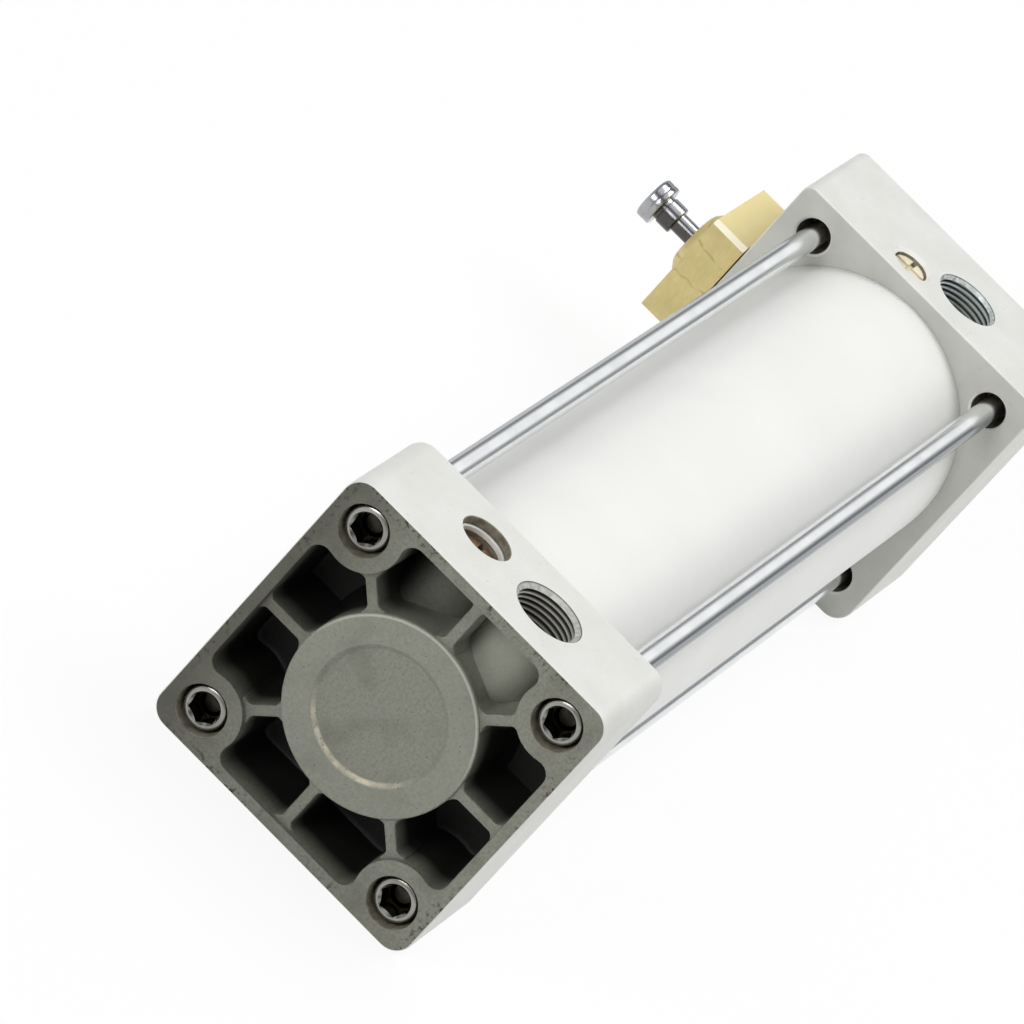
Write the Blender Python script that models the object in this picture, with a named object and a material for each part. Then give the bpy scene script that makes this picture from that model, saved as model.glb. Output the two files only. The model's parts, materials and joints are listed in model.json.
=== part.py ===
"""Square tie-rod pneumatic cylinder with adjustable end cushions, shown with its rod in.

X runs along the rod, towards the rod end. +Z is the side with the air ports, and the cylinder
lies on its -Z side. The origin is the middle of the shallow round recess in the end boss of the
rear cap. All lengths are in metres.
"""
import math

import bmesh
import bpy
from mathutils import Matrix, Vector

# Fits: the gap left between pieces that touch on the real cylinder
FIT = 0.0003
# Share of a seal's smaller side that its cut corners take
SEAL_CORNER = 0.3
# How far a cutter or a joined shape runs past the face that it meets
OVERRUN = 0.001

# Roundness: flat sides of turned shapes
LARGE_SIDES = 48
MEDIUM_SIDES = 32
SMALL_SIDES = 20
TINY_SIDES = 12
ARC_STEPS = 4
SMOOTH_ANGLE = 32
MERGE_DISTANCE = 1e-6

# Caps
CAP_SIDE = 0.075
CAP_CORNER_RADIUS = 0.005
REAR_CAP_LENGTH = 0.033
HEAD_CAP_LENGTH = 0.0355
SPIGOT_LENGTH = 0.003
NOSE_DIAMETER = 0.045
NOSE_LENGTH = 0.014

# Rear cap's open back: a rim, four corner bosses, a centre boss and eight ribs
POCKET_DEPTH = 0.022
RIM_WIDTH = 0.003
CORNER_BOSS_RADIUS = 0.0094
POCKET_CORNER_RADIUS = 0.003
CENTRE_BOSS_DROP = 0.0005
RECESS_DEPTH = 0.0010
RIB_WIDTH = 0.0027
RIB_DROP = 0.0015
RIB_COUNT = 8

# Barrel, whose bore leaves a given width of the caps' side beside it
BORE_FROM_SIDE = 0.006
BORE = CAP_SIDE - 2 * BORE_FROM_SIDE
TUBE_WALL = 0.002
TUBE_SEAT = 0.004
BARREL_SEAL_SECTION = 0.0016
BARREL_SEAL_GROOVE_DEPTH = 0.0020

# Rear cap's centre boss and the recess in its end
CENTRE_BOSS_INSIDE_BORE = 0.0091
CENTRE_BOSS_RADIUS = BORE / 2 - CENTRE_BOSS_INSIDE_BORE
RECESS_INSIDE_BOSS = 0.0066
RECESS_RADIUS = CENTRE_BOSS_RADIUS - RECESS_INSIDE_BOSS
RECESS_SLOPE = 0.0012
RECESS_FLOOR_RADIUS = RECESS_RADIUS - RECESS_SLOPE

# Tie rods and their round socket nuts
TIE_ROD_FROM_SIDE = 0.009
TIE_ROD_SPACING = CAP_SIDE - 2 * TIE_ROD_FROM_SIDE
TIE_ROD_DIAMETER = 0.0055
TIE_HOLE_DIAMETER = 0.0088
TIE_HOLE_DEPTH = 0.012
TIE_NUT_DIAMETER = 0.0102
TIE_NUT_LENGTH = 0.010
TIE_NUT_DROP = 0.0013
TIE_NUT_SOCKET = 0.0065
TIE_NUT_SOCKET_DEPTH = 0.005
TIE_NUT_CHAMFER = 0.0005
COUNTERBORE_DIAMETER = 0.0116

# Air ports, tapped with the thread's core diameter here. Their place across is a share of the side
PORT_CORE_DIAMETER = 0.01495
PORT_DEPTH = 0.014
PORT_CHAMFER = 0.0011
PASSAGE_FROM_AXIS = 0.004
REAR_PORT_MOUTH = 0.0172
REAR_PORT_FROM_FACE = 0.0165
REAR_PORT_SHARE = -0.130667
REAR_PORT_Y = CAP_SIDE * REAR_PORT_SHARE
REAR_PORT_PASSAGE = 0.008
REAR_PORT_CASTING = 0.0194
HEAD_PORT_MOUTH = 0.0162
HEAD_PORT_FROM_INNER_FACE = 0.0163
HEAD_PORT_SHARE = -0.084
HEAD_PORT_Y = CAP_SIDE * HEAD_PORT_SHARE
HEAD_PORT_PASSAGE = 0.006

# Cushion screws: the needle screws beside the ports
SCREW_PITCH = 0.00075
SCREW_TURNS = 1
REAR_SCREW_FROM_FACE = 0.0201
REAR_SCREW_SHARE = 0.141333
REAR_SCREW_Y = CAP_SIDE * REAR_SCREW_SHARE
REAR_SCREW_HOLE = 0.0124
REAR_SCREW_FACE_DEPTH = 0.0045
REAR_SCREW_BODY = 0.008
REAR_SCREW_TIP = 0.003
REAR_SCREW_CASTING = 0.0188
HEAD_SCREW_FROM_INNER_FACE = 0.0092
HEAD_SCREW_SHARE = 0.106667
HEAD_SCREW_Y = CAP_SIDE * HEAD_SCREW_SHARE
HEAD_SCREW_HOLE = 0.0092
HEAD_SCREW_MOUTH = 0.0104
HEAD_SCREW_FACE_DEPTH = 0.0014
HEAD_SCREW_BODY = 0.0056
HEAD_SCREW_TIP = 0.0024
SCREW_HEAD_HEIGHT = 0.0045
SCREW_BODY_FROM_AXIS = 0.029
SCREW_BODY_LENGTH = CAP_SIDE / 2 - SCREW_BODY_FROM_AXIS
SCREW_TIP_LENGTH = 0.004
SCREW_POINT_DIAMETER = 0.0007
SCREW_SLOT_WIDTH = 0.0012
SCREW_SLOT_DEPTH = 0.0012
SCREW_RING_HEIGHT = 0.0016
SNAP_RING_TOP_DEPTH = 0.0023
SNAP_RING_HEIGHT = 0.0013
SNAP_RING_OUTER = 0.0130
SNAP_RING_INNER = 0.0114

# Piston and rod
STROKE = 0.200
END_GAP = 0.0005
PISTON_LENGTH = 0.025
PISTON_CLEARANCE = 0.0006
PISTON_SEAL_WIDTH = 0.0034
PISTON_SEAL_DEPTH = 0.0040
PISTON_SEAL_FROM_END = 0.003
WEAR_RING_WIDTH = 0.006
WEAR_RING_DEPTH = 0.0015
ROD_DIAMETER = 0.020
ROD_SPIGOT_DIAMETER = 0.014
ROD_SPIGOT_PAST_PISTON = 0.016
ROD_SHOWN = 0.023
ROD_SHOULDER_CHAMFER = 0.001
ROD_THREAD_DIAMETER = 0.016
ROD_THREAD_LENGTH = 0.032
ROD_THREAD_CHAMFER = 0.0015
FLAT_CUT = 0.0015
FLATS_ACROSS = ROD_DIAMETER - 2 * FLAT_CUT
FLATS_LENGTH = 0.009
FLATS_FROM_THREAD = 0.002
ROD_NUT_ACROSS = 0.024
ROD_NUT_THICKNESS = 0.008
ROD_NUT_FROM_SHOULDER = 0.004

# Cushions: plungers on the rod that enter a bore in each cap
CUSHION_LENGTH = 0.020
REAR_PLUNGER_DIAMETER = 0.022
REAR_CUSHION_CLEARANCE = 0.0015
REAR_CUSHION_BORE = REAR_PLUNGER_DIAMETER + 2 * REAR_CUSHION_CLEARANCE
REAR_BORE_DEPTH = 0.024
REAR_PLUNGER_CHAMFER = 0.002
HEAD_SLEEVE_WALL = 0.004
HEAD_SLEEVE_DIAMETER = ROD_DIAMETER + 2 * HEAD_SLEEVE_WALL
HEAD_SLEEVE_CHAMFER = 0.0018
HEAD_CUSHION_CLEARANCE = 0.0015
HEAD_CUSHION_BORE = HEAD_SLEEVE_DIAMETER + 2 * HEAD_CUSHION_CLEARANCE
HEAD_BORE_DEPTH = 0.0225
CUSHION_SEAL_THICKNESS = 0.0037
CUSHION_SEAL_WIDTH = 0.003
CUSHION_SEAL_LIP = 0.0013

# Rod guide in the head cap
BUSH_WALL = 0.003
BUSH_OUTER = ROD_DIAMETER + 2 * BUSH_WALL
BUSH_END_GAP = 0.0005
WIPER_WALL = 0.005
WIPER_OUTER = ROD_DIAMETER + 2 * WIPER_WALL
WIPER_LENGTH = 0.009
WIPER_LIP_LENGTH = 0.0024
WIPER_LIP_THICKNESS = 0.0012

# Brass throttle valve on the head cap's +Y side
VALVE_LENGTH = 0.031
VALVE_WIDTH = 0.0286
VALVE_HEIGHT = 0.0098
VALVE_CHAMFER = 0.0007
VALVE_SPIGOT_DIAMETER = 0.010
VALVE_SPIGOT_LENGTH = 0.0115
VALVE_PASSAGE = 0.005
VALVE_SEAT_DIAMETER = 0.003
VALVE_SEAT_FROM_BASE = -0.0018
VALVE_CHAMBER_FROM_BASE = 0.0004
VALVE_CHAMBER_DIAMETER = 0.0086
GLAND_DIAMETER = 0.018
GLAND_HEIGHT = 0.0026
GLAND_CHAMFER = 0.0010
GLAND_SHANK_DIAMETER = 0.011
GLAND_SHANK_LENGTH = 0.0031
EXHAUST_DIAMETER = 0.0016
EXHAUST_FROM_BASE = 0.0013
NEEDLE_DIAMETER = 0.005
NEEDLE_TIP_DIAMETER = 0.0024
NEEDLE_TIP_LENGTH = 0.0029
NEEDLE_POINT_DIAMETER = 0.0008
NEEDLE_FOOT_FROM_BASE = 0.0021
NEEDLE_SHOWN = 0.0052
NEEDLE_COLLAR_DIAMETER = 0.0072
NEEDLE_COLLAR_LENGTH = 0.0048
NEEDLE_KNOB_DIAMETER = 0.0109
NEEDLE_KNOB_LENGTH = 0.0039
NEEDLE_KNOB_CHAMFER = 0.0005
NEEDLE_RING_HEIGHT = 0.0012

# Places along X
X_REAR_FACE = -(CENTRE_BOSS_DROP + RECESS_DEPTH)
X_REAR_INNER = X_REAR_FACE + REAR_CAP_LENGTH
X_REAR_SPIGOT = X_REAR_INNER + SPIGOT_LENGTH
X_PISTON = X_REAR_SPIGOT + END_GAP
X_PISTON_FRONT = X_PISTON + PISTON_LENGTH
X_HEAD_SPIGOT = X_PISTON_FRONT + STROKE + END_GAP
X_HEAD_INNER = X_HEAD_SPIGOT + SPIGOT_LENGTH
X_HEAD_FACE = X_HEAD_INNER + HEAD_CAP_LENGTH
X_NOSE = X_HEAD_FACE + NOSE_LENGTH
X_ROD_SHOULDER = X_NOSE + ROD_SHOWN
X_ROD_END = X_ROD_SHOULDER + ROD_THREAD_LENGTH
X_HEAD_BORE_END = X_HEAD_SPIGOT + HEAD_BORE_DEPTH
X_WIPER_SEAT = X_NOSE - WIPER_LENGTH - 2 * FIT

# Radii and half sizes that several pieces share
HALF_CAP = CAP_SIDE / 2
TIE_OFFSET = TIE_ROD_SPACING / 2
SPIGOT_RADIUS = BORE / 2 - FIT
TUBE_RADIUS = BORE / 2 + TUBE_WALL
ROD_HOLE_RADIUS = ROD_DIAMETER / 2 + FIT
VALVE_BASE = HALF_CAP + FIT
VALVE_TOP = VALVE_BASE + VALVE_HEIGHT
VALVE_X = X_HEAD_INNER + VALVE_LENGTH / 2


def clear_scene():
    for thing in list(bpy.data.objects):
        bpy.data.objects.remove(thing)


def make_material(name, colour, roughness, metallic):
    material = bpy.data.materials.new(name)
    material.use_nodes = True
    shader = material.node_tree.nodes["Principled BSDF"]
    shader.inputs["Base Color"].default_value = (*colour, 1.0)
    shader.inputs["Roughness"].default_value = roughness
    shader.inputs["Metallic"].default_value = metallic
    return material


def add_object(name, mesh, material=None, location=(0, 0, 0), parent=None):
    thing = bpy.data.objects.new(name, mesh)
    bpy.context.scene.collection.objects.link(thing)
    thing.location = location
    if material:
        mesh.materials.append(material)
    if parent:
        thing.parent = parent
    return thing


def finish_mesh(name, shape, smooth=True):
    bmesh.ops.recalc_face_normals(shape, faces=shape.faces[:])
    mesh = bpy.data.meshes.new(name)
    shape.to_mesh(mesh)
    shape.free()
    if smooth:
        mesh.shade_smooth()
        mesh.set_sharp_from_angle(angle=math.radians(SMOOTH_ANGLE))
    return mesh


def turned_mesh(name, outline, sides, axis="X"):
    """A turned shape. The outline lists (place along the axis, radius) round the section.

    An outline that starts and ends at radius 0 makes a solid, any other one makes a ring.
    """
    shape = bmesh.new()
    points = [shape.verts.new((along, 0, radius)) for along, radius in outline]
    for first, second in zip(points, points[1:]):
        shape.edges.new((first, second))
    if outline[0][1] > 0:
        shape.edges.new((points[-1], points[0]))
    bmesh.ops.spin(shape, geom=shape.verts[:] + shape.edges[:], axis=(1, 0, 0), cent=(0, 0, 0),
                   angle=math.tau, steps=sides, use_merge=True)
    bmesh.ops.remove_doubles(shape, verts=shape.verts[:], dist=MERGE_DISTANCE)
    if axis == "Y":
        bmesh.ops.rotate(shape, verts=shape.verts[:], matrix=Matrix.Rotation(math.pi / 2, 3, "Z"))
    if axis == "Z":
        bmesh.ops.rotate(shape, verts=shape.verts[:], matrix=Matrix.Rotation(-math.pi / 2, 3, "Y"))
    return finish_mesh(name, shape)


def prism_mesh(name, outline, start, end):
    """A straight bar along X with the outline, a list of (y, z), as its section."""
    shape = bmesh.new()
    face = shape.faces.new([shape.verts.new((start, y, z)) for y, z in outline])
    swept = bmesh.ops.extrude_face_region(shape, geom=[face])
    moved = [item for item in swept["geom"] if isinstance(item, bmesh.types.BMVert)]
    bmesh.ops.translate(shape, verts=moved, vec=(end - start, 0, 0))
    return finish_mesh(name, shape)


def box_mesh(name, low, high):
    shape = bmesh.new()
    bmesh.ops.create_cube(shape, size=1.0)
    low, high = Vector(low), Vector(high)
    bmesh.ops.scale(shape, verts=shape.verts[:], vec=high - low)
    bmesh.ops.translate(shape, verts=shape.verts[:], vec=(low + high) / 2)
    return finish_mesh(name, shape, smooth=False)


def arc(centre, radius, start, end, steps):
    """Points (y, z) on an arc from one angle to another, both ends included."""
    angles = [start + (end - start) * step / steps for step in range(steps + 1)]
    return [(centre[0] + radius * math.cos(angle), centre[1] + radius * math.sin(angle))
            for angle in angles]


def turn_point(point, angle):
    cosine, sine = math.cos(angle), math.sin(angle)
    return point[0] * cosine - point[1] * sine, point[0] * sine + point[1] * cosine


def rounded_square(half, radius):
    corner = arc((half - radius, half - radius), radius, 0, math.pi / 2, ARC_STEPS)
    return [turn_point(point, turn * math.pi / 2) for turn in range(4) for point in corner]


def pocket_outline():
    """Inside of the rear cap's rim, which runs round the four corner bosses in S-curves."""
    wall = HALF_CAP - RIM_WIDTH
    boss = (TIE_OFFSET, TIE_OFFSET)
    reach = CORNER_BOSS_RADIUS + POCKET_CORNER_RADIUS
    first_y = wall - POCKET_CORNER_RADIUS
    first_z = TIE_OFFSET - math.sqrt(reach ** 2 - (first_y - TIE_OFFSET) ** 2)
    meet = math.atan2(TIE_OFFSET - first_z, TIE_OFFSET - first_y)
    corner = arc((first_y, first_z), POCKET_CORNER_RADIUS, 0, meet, ARC_STEPS)
    round_boss = arc(boss, CORNER_BOSS_RADIUS, meet + math.pi, math.pi * 1.5 - meet, 2 * ARC_STEPS)
    corner += round_boss[1:-1]
    corner += arc((first_z, first_y), POCKET_CORNER_RADIUS, math.pi / 2 - meet, math.pi / 2,
                  ARC_STEPS)
    return [turn_point(point, turn * math.pi / 2) for turn in range(4) for point in corner]


def tool(mesh, location=(0, 0, 0), turn=0.0):
    """A helper object that is cut from a piece or joined to it, and isn't a piece itself."""
    helper = add_object("tool_" + mesh.name, mesh, location=location)
    helper.rotation_euler = (turn, 0, 0)
    helper.hide_render = True
    helper.display_type = "WIRE"
    return helper


def combine(target, tools, operation):
    """One exact Boolean with all the tools at once, so that no rounding builds up between cuts."""
    group = bpy.data.collections.new(f"{target.name}_{len(target.modifiers) + 1}")
    bpy.context.scene.collection.children.link(group)
    for helper in tools:
        group.objects.link(helper)
    modifier = target.modifiers.new(group.name, "BOOLEAN")
    modifier.operation = operation
    modifier.solver = "EXACT"
    modifier.operand_type = "COLLECTION"
    modifier.collection = group


def cut(target, *tools):
    combine(target, tools, "DIFFERENCE")


def fuse(target, *tools):
    combine(target, tools, "UNION")


def tie_places():
    """The four tie-rod axes as (number, y, z), round from the +Y +Z corner."""
    for number in range(4):
        angle = math.pi / 4 + number * math.pi / 2
        reach = TIE_OFFSET * math.sqrt(2)
        yield number + 1, reach * math.cos(angle), reach * math.sin(angle)


def tie_hole_tools(name, face, inner, outward):
    """Counterbore for the nut, a close hole for the rod, and a wide hole on the barrel side."""
    nut_seat = face - outward * (TIE_NUT_DROP + TIE_NUT_LENGTH + FIT)
    wide_from = inner + outward * TIE_HOLE_DEPTH
    outline = [
        (face + outward * OVERRUN, 0),
        (face + outward * OVERRUN, COUNTERBORE_DIAMETER / 2),
        (nut_seat, COUNTERBORE_DIAMETER / 2),
        (nut_seat, TIE_ROD_DIAMETER / 2 + FIT),
        (wide_from, TIE_ROD_DIAMETER / 2 + FIT),
        (wide_from, TIE_HOLE_DIAMETER / 2),
        (inner - outward * OVERRUN, TIE_HOLE_DIAMETER / 2),
        (inner - outward * OVERRUN, 0),
    ]
    return [tool(turned_mesh(f"{name}_tie_hole_{number}", outline, SMALL_SIDES), (0, y, z))
            for number, y, z in tie_places()]


def spigot_mesh(name, root, seal_from, seal_to, end):
    """The round spigot that fills the barrel's end, with its seal groove."""
    groove = SPIGOT_RADIUS - BARREL_SEAL_GROOVE_DEPTH
    outline = [
        (root, 0), (root, SPIGOT_RADIUS), (seal_from, SPIGOT_RADIUS), (seal_from, groove),
        (seal_to, groove), (seal_to, SPIGOT_RADIUS), (end, SPIGOT_RADIUS), (end, 0),
    ]
    return turned_mesh(name, outline, LARGE_SIDES)


def fit_barrel_end(cap, inner, inward):
    """Cuts the seat of the barrel into a cap and adds the spigot. inward is +1 towards +X."""
    seat = inner - inward * TUBE_SEAT
    out = inner + inward * OVERRUN
    outline = [(seat, 0), (seat, TUBE_RADIUS + FIT), (out, TUBE_RADIUS + FIT), (out, 0)]
    cut(cap, tool(turned_mesh(cap.name + "_seat", outline, LARGE_SIDES)))
    first, last = barrel_seal_groove(inner, inward)
    fuse(cap, tool(spigot_mesh(cap.name + "_spigot", seat - inward * OVERRUN, first, last,
                               inner + inward * SPIGOT_LENGTH)))


def barrel_seal_groove(inner, inward):
    """Where the barrel seal's groove starts and ends along X."""
    middle = inner - inward * TUBE_SEAT / 2
    half = BARREL_SEAL_SECTION / 2 + FIT
    return middle - inward * half, middle + inward * half


def cushion_seal_span(spigot, inward):
    """The cushion seal's groove along X, behind a lip at the spigot's face."""
    near = spigot - inward * CUSHION_SEAL_LIP
    return near, near - inward * (CUSHION_SEAL_WIDTH + 2 * FIT)


def port_tool(name, place, mouth, passage):
    """A tapped port from the +Z face, and the passage from its bottom to the centre bore."""
    floor = HALF_CAP - PORT_DEPTH
    core = PORT_CORE_DIAMETER / 2
    rise = mouth / 2 - core
    outline = [
        (PASSAGE_FROM_AXIS, 0), (PASSAGE_FROM_AXIS, passage / 2), (floor, passage / 2),
        (floor, core), (HALF_CAP - PORT_CHAMFER, core),
        (HALF_CAP + PORT_CHAMFER, mouth / 2 + rise), (HALF_CAP + PORT_CHAMFER, 0),
    ]
    return tool(turned_mesh(name, outline, MEDIUM_SIDES, "Z"), place)


def screw_levels(face_depth):
    """Heights in Z of a cushion screw: face, underside of the head, ring foot, body end, tip."""
    face = HALF_CAP - face_depth
    under = face - SCREW_HEAD_HEIGHT
    ring_foot = under - FIT - SCREW_RING_HEIGHT
    body_end = under - SCREW_BODY_LENGTH
    return face, under, ring_foot, body_end, body_end - SCREW_TIP_LENGTH


def screw_hole_tool(name, place, hole, mouth, body, tip, face_depth, ring_groove):
    """The stepped hole of a cushion screw, down to the centre bore."""
    travel = SCREW_TURNS * SCREW_PITCH
    ring_foot, body_end = screw_levels(face_depth)[2:4]
    step = ring_foot - travel - FIT
    floor = body_end - travel - FIT
    outline = [
        (PASSAGE_FROM_AXIS, 0), (PASSAGE_FROM_AXIS, tip / 2 + FIT), (floor, tip / 2 + FIT),
        (floor, body / 2 + FIT), (step, body / 2 + FIT), (step, hole / 2),
    ]
    if ring_groove:
        top = HALF_CAP - SNAP_RING_TOP_DEPTH + FIT
        foot = top - SNAP_RING_HEIGHT - 2 * FIT
        wide = SNAP_RING_OUTER / 2 + FIT
        outline += [(foot, hole / 2), (foot, wide), (top, wide), (top, hole / 2)]
    rise = (mouth - hole) / 2
    if rise > 0:
        outline += [(HALF_CAP - rise, hole / 2), (HALF_CAP + rise, mouth / 2 + rise),
                    (HALF_CAP + rise, 0)]
    else:
        outline += [(HALF_CAP + OVERRUN, hole / 2), (HALF_CAP + OVERRUN, 0)]
    return tool(turned_mesh(name, outline, SMALL_SIDES, "Z"), place)


def casting_mesh(name, diameter, foot, drop):
    """A lump of casting under a hole in the +Z face, round on top and straight down to the floor.

    drop is how far the pocket's floor lies behind the hole's axis.
    """
    radius = diameter / 2
    outline = arc((0, 0), radius, 0, math.pi, 2 * ARC_STEPS)
    outline += [(-radius, -drop - OVERRUN), (radius, -drop - OVERRUN)]
    mesh = prism_mesh(name, outline, foot, HALF_CAP - RIM_WIDTH / 2)
    mesh.transform(Matrix.Rotation(-math.pi / 2, 4, "Y"))
    return mesh


def rear_cap(material):
    cap = add_object("rear_cap", prism_mesh(
        "rear_cap", rounded_square(HALF_CAP, CAP_CORNER_RADIUS), X_REAR_FACE, X_REAR_INNER),
        material)
    floor = X_REAR_FACE + POCKET_DEPTH
    cut(cap, tool(prism_mesh("rear_pocket", pocket_outline(), X_REAR_FACE - OVERRUN, floor)))
    port = (X_REAR_FACE + REAR_PORT_FROM_FACE, REAR_PORT_Y, 0)
    screw = (X_REAR_FACE + REAR_SCREW_FROM_FACE, REAR_SCREW_Y, 0)
    centre = REAR_CUSHION_BORE / 2
    ribs = [tool(rib_mesh(number, floor), turn=number * math.tau / RIB_COUNT)
            for number in range(RIB_COUNT)]
    fuse(cap, tool(centre_boss_mesh(floor)), *ribs,
         tool(casting_mesh("port_casting", REAR_PORT_CASTING, centre, floor - port[0]), port),
         tool(casting_mesh("screw_casting", REAR_SCREW_CASTING, centre, floor - screw[0]), screw))
    fit_barrel_end(cap, X_REAR_INNER, 1)
    near, far = cushion_seal_span(X_REAR_SPIGOT, 1)
    seal = REAR_PLUNGER_DIAMETER / 2 + CUSHION_SEAL_THICKNESS + 2 * FIT
    end = X_REAR_SPIGOT - REAR_BORE_DEPTH
    out = X_REAR_SPIGOT + OVERRUN
    outline = [
        (end, 0), (end, centre), (far, centre), (far, seal), (near, seal), (near, centre),
        (out, centre), (out, 0),
    ]
    cut(cap, tool(turned_mesh("rear_bore", outline, MEDIUM_SIDES)),
        port_tool("rear_port", port, REAR_PORT_MOUTH, REAR_PORT_PASSAGE),
        screw_hole_tool("rear_screw_hole", screw, REAR_SCREW_HOLE, REAR_SCREW_HOLE,
                        REAR_SCREW_BODY, REAR_SCREW_TIP, REAR_SCREW_FACE_DEPTH, True),
        *tie_hole_tools("rear", X_REAR_FACE, X_REAR_INNER, -1))


def centre_boss_mesh(floor):
    """The rear cap's round boss, with the shallow recess in its end."""
    face = X_REAR_FACE + CENTRE_BOSS_DROP
    outline = [
        (floor + OVERRUN, 0), (floor + OVERRUN, CENTRE_BOSS_RADIUS), (face, CENTRE_BOSS_RADIUS),
        (face, RECESS_RADIUS), (face + RECESS_DEPTH, RECESS_FLOOR_RADIUS),
        (face + RECESS_DEPTH, 0),
    ]
    return turned_mesh("centre_boss", outline, LARGE_SIDES)


def rib_mesh(number, floor):
    """One rib, from inside the centre boss to inside the rim or the corner boss it meets."""
    root = CENTRE_BOSS_RADIUS - OVERRUN
    towards_corner = number % 2 == 1
    tie_reach = TIE_OFFSET * math.sqrt(2)
    tip = tie_reach - CORNER_BOSS_RADIUS + OVERRUN if towards_corner else HALF_CAP - RIM_WIDTH / 2
    low = (X_REAR_FACE + RIB_DROP, root, -RIB_WIDTH / 2)
    high = (floor + OVERRUN, tip, RIB_WIDTH / 2)
    return box_mesh(f"rib_{number + 1}", low, high)


def head_cap(material):
    cap = add_object("head_cap", prism_mesh(
        "head_cap", rounded_square(HALF_CAP, CAP_CORNER_RADIUS), X_HEAD_INNER, X_HEAD_FACE),
        material)
    root = X_HEAD_FACE - OVERRUN
    nose = [(root, 0), (root, NOSE_DIAMETER / 2), (X_NOSE, NOSE_DIAMETER / 2), (X_NOSE, 0)]
    fuse(cap, tool(turned_mesh("nose", nose, LARGE_SIDES)))
    fit_barrel_end(cap, X_HEAD_INNER, -1)
    near, far = cushion_seal_span(X_HEAD_SPIGOT, -1)
    centre = HEAD_CUSHION_BORE / 2
    seal = HEAD_SLEEVE_DIAMETER / 2 + CUSHION_SEAL_THICKNESS + 2 * FIT
    bush = BUSH_OUTER / 2 + FIT
    wiper = WIPER_OUTER / 2 + FIT
    start, out = X_HEAD_SPIGOT - OVERRUN, X_NOSE + OVERRUN
    outline = [
        (start, 0), (start, centre), (near, centre), (near, seal), (far, seal), (far, centre),
        (X_HEAD_BORE_END, centre), (X_HEAD_BORE_END, bush), (X_WIPER_SEAT, bush),
        (X_WIPER_SEAT, wiper), (out, wiper), (out, 0),
    ]
    port = (X_HEAD_INNER + HEAD_PORT_FROM_INNER_FACE, HEAD_PORT_Y, 0)
    screw = (X_HEAD_INNER + HEAD_SCREW_FROM_INNER_FACE, HEAD_SCREW_Y, 0)
    cut(cap, tool(turned_mesh("head_bore", outline, MEDIUM_SIDES)),
        port_tool("head_port", port, HEAD_PORT_MOUTH, HEAD_PORT_PASSAGE),
        screw_hole_tool("head_screw_hole", screw, HEAD_SCREW_HOLE, HEAD_SCREW_MOUTH,
                        HEAD_SCREW_BODY, HEAD_SCREW_TIP, HEAD_SCREW_FACE_DEPTH, False),
        valve_hole_tool(), *tie_hole_tools("head", X_HEAD_FACE, X_HEAD_INNER, 1))


def valve_hole_tool():
    """The hole in the head cap's +Y side for the valve's spigot, and its passage to the bore."""
    hole = VALVE_SPIGOT_DIAMETER / 2 + FIT
    foot = VALVE_BASE - VALVE_SPIGOT_LENGTH - FIT
    out = HALF_CAP + OVERRUN
    outline = [
        (PASSAGE_FROM_AXIS, 0), (PASSAGE_FROM_AXIS, VALVE_PASSAGE / 2),
        (foot, VALVE_PASSAGE / 2), (foot, hole), (out, hole), (out, 0),
    ]
    return tool(turned_mesh("valve_hole", outline, SMALL_SIDES, "Y"), (VALVE_X, 0, 0))


def barrel_tube(material):
    start = X_REAR_INNER - TUBE_SEAT + FIT
    end = X_HEAD_INNER + TUBE_SEAT - FIT
    outline = [(start, BORE / 2), (start, TUBE_RADIUS), (end, TUBE_RADIUS), (end, BORE / 2)]
    return add_object("barrel_tube", turned_mesh("barrel_tube", outline, LARGE_SIDES), material)


def tie_rods(material):
    """Four rods that end inside the sockets of their nuts."""
    inside = TIE_NUT_DROP + TIE_NUT_SOCKET_DEPTH + FIT
    start, end = X_REAR_FACE + inside, X_HEAD_FACE - inside
    radius = TIE_ROD_DIAMETER / 2
    outline = [(start, 0), (start, radius), (end, radius), (end, 0)]
    mesh = turned_mesh("tie_rod", outline, SMALL_SIDES)
    mesh.materials.append(material)
    for number, y, z in tie_places():
        add_object(f"tie_rod_{number}", mesh, location=(0, y, z))


def tie_nuts(end_name, face, outward, material):
    """Four round nuts with a hexagon socket, sunk in the counterbores of one cap."""
    radius = TIE_NUT_DIAMETER / 2
    foot = -outward * TIE_NUT_LENGTH
    bevel = outward * TIE_NUT_CHAMFER
    hole = TIE_ROD_DIAMETER / 2 + FIT
    corner = TIE_NUT_SOCKET / math.sqrt(3)
    floor = -outward * TIE_NUT_SOCKET_DEPTH
    outline = [
        (foot, hole), (foot, radius), (-bevel, radius), (0, radius - TIE_NUT_CHAMFER), (0, hole),
    ]
    socket = [(bevel, 0), (bevel, corner), (floor, corner), (floor, 0)]
    for number, y, z in tie_places():
        place = (face - outward * TIE_NUT_DROP, y, z)
        mesh = turned_mesh(f"{end_name}_tie_nut_{number}", outline, SMALL_SIDES)
        nut = add_object(mesh.name, mesh, material, place)
        cut(nut, tool(turned_mesh(mesh.name + "_socket", socket, 6), place))


def seal_ring(name, middle, inner, outer, width, material, parent=None, centre=(0, 0), axis="X"):
    """A round-cornered ring about an axis, middle being its place along that axis."""
    corner = min(width, outer - inner) * SEAL_CORNER
    low, high = -width / 2, width / 2
    outline = [
        (low, inner + corner), (low, outer - corner), (low + corner, outer),
        (high - corner, outer), (high, outer - corner), (high, inner + corner),
        (high - corner, inner), (low + corner, inner),
    ]
    place = {
        "X": (middle, centre[0], centre[1]),
        "Y": (centre[0], middle, centre[1]),
        "Z": (centre[0], centre[1], middle),
    }[axis]
    sides = MEDIUM_SIDES if outer > ROD_DIAMETER / 2 else TINY_SIDES
    mesh = turned_mesh(name, outline, sides, axis)
    return add_object(name, mesh, material, place, parent)


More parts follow.
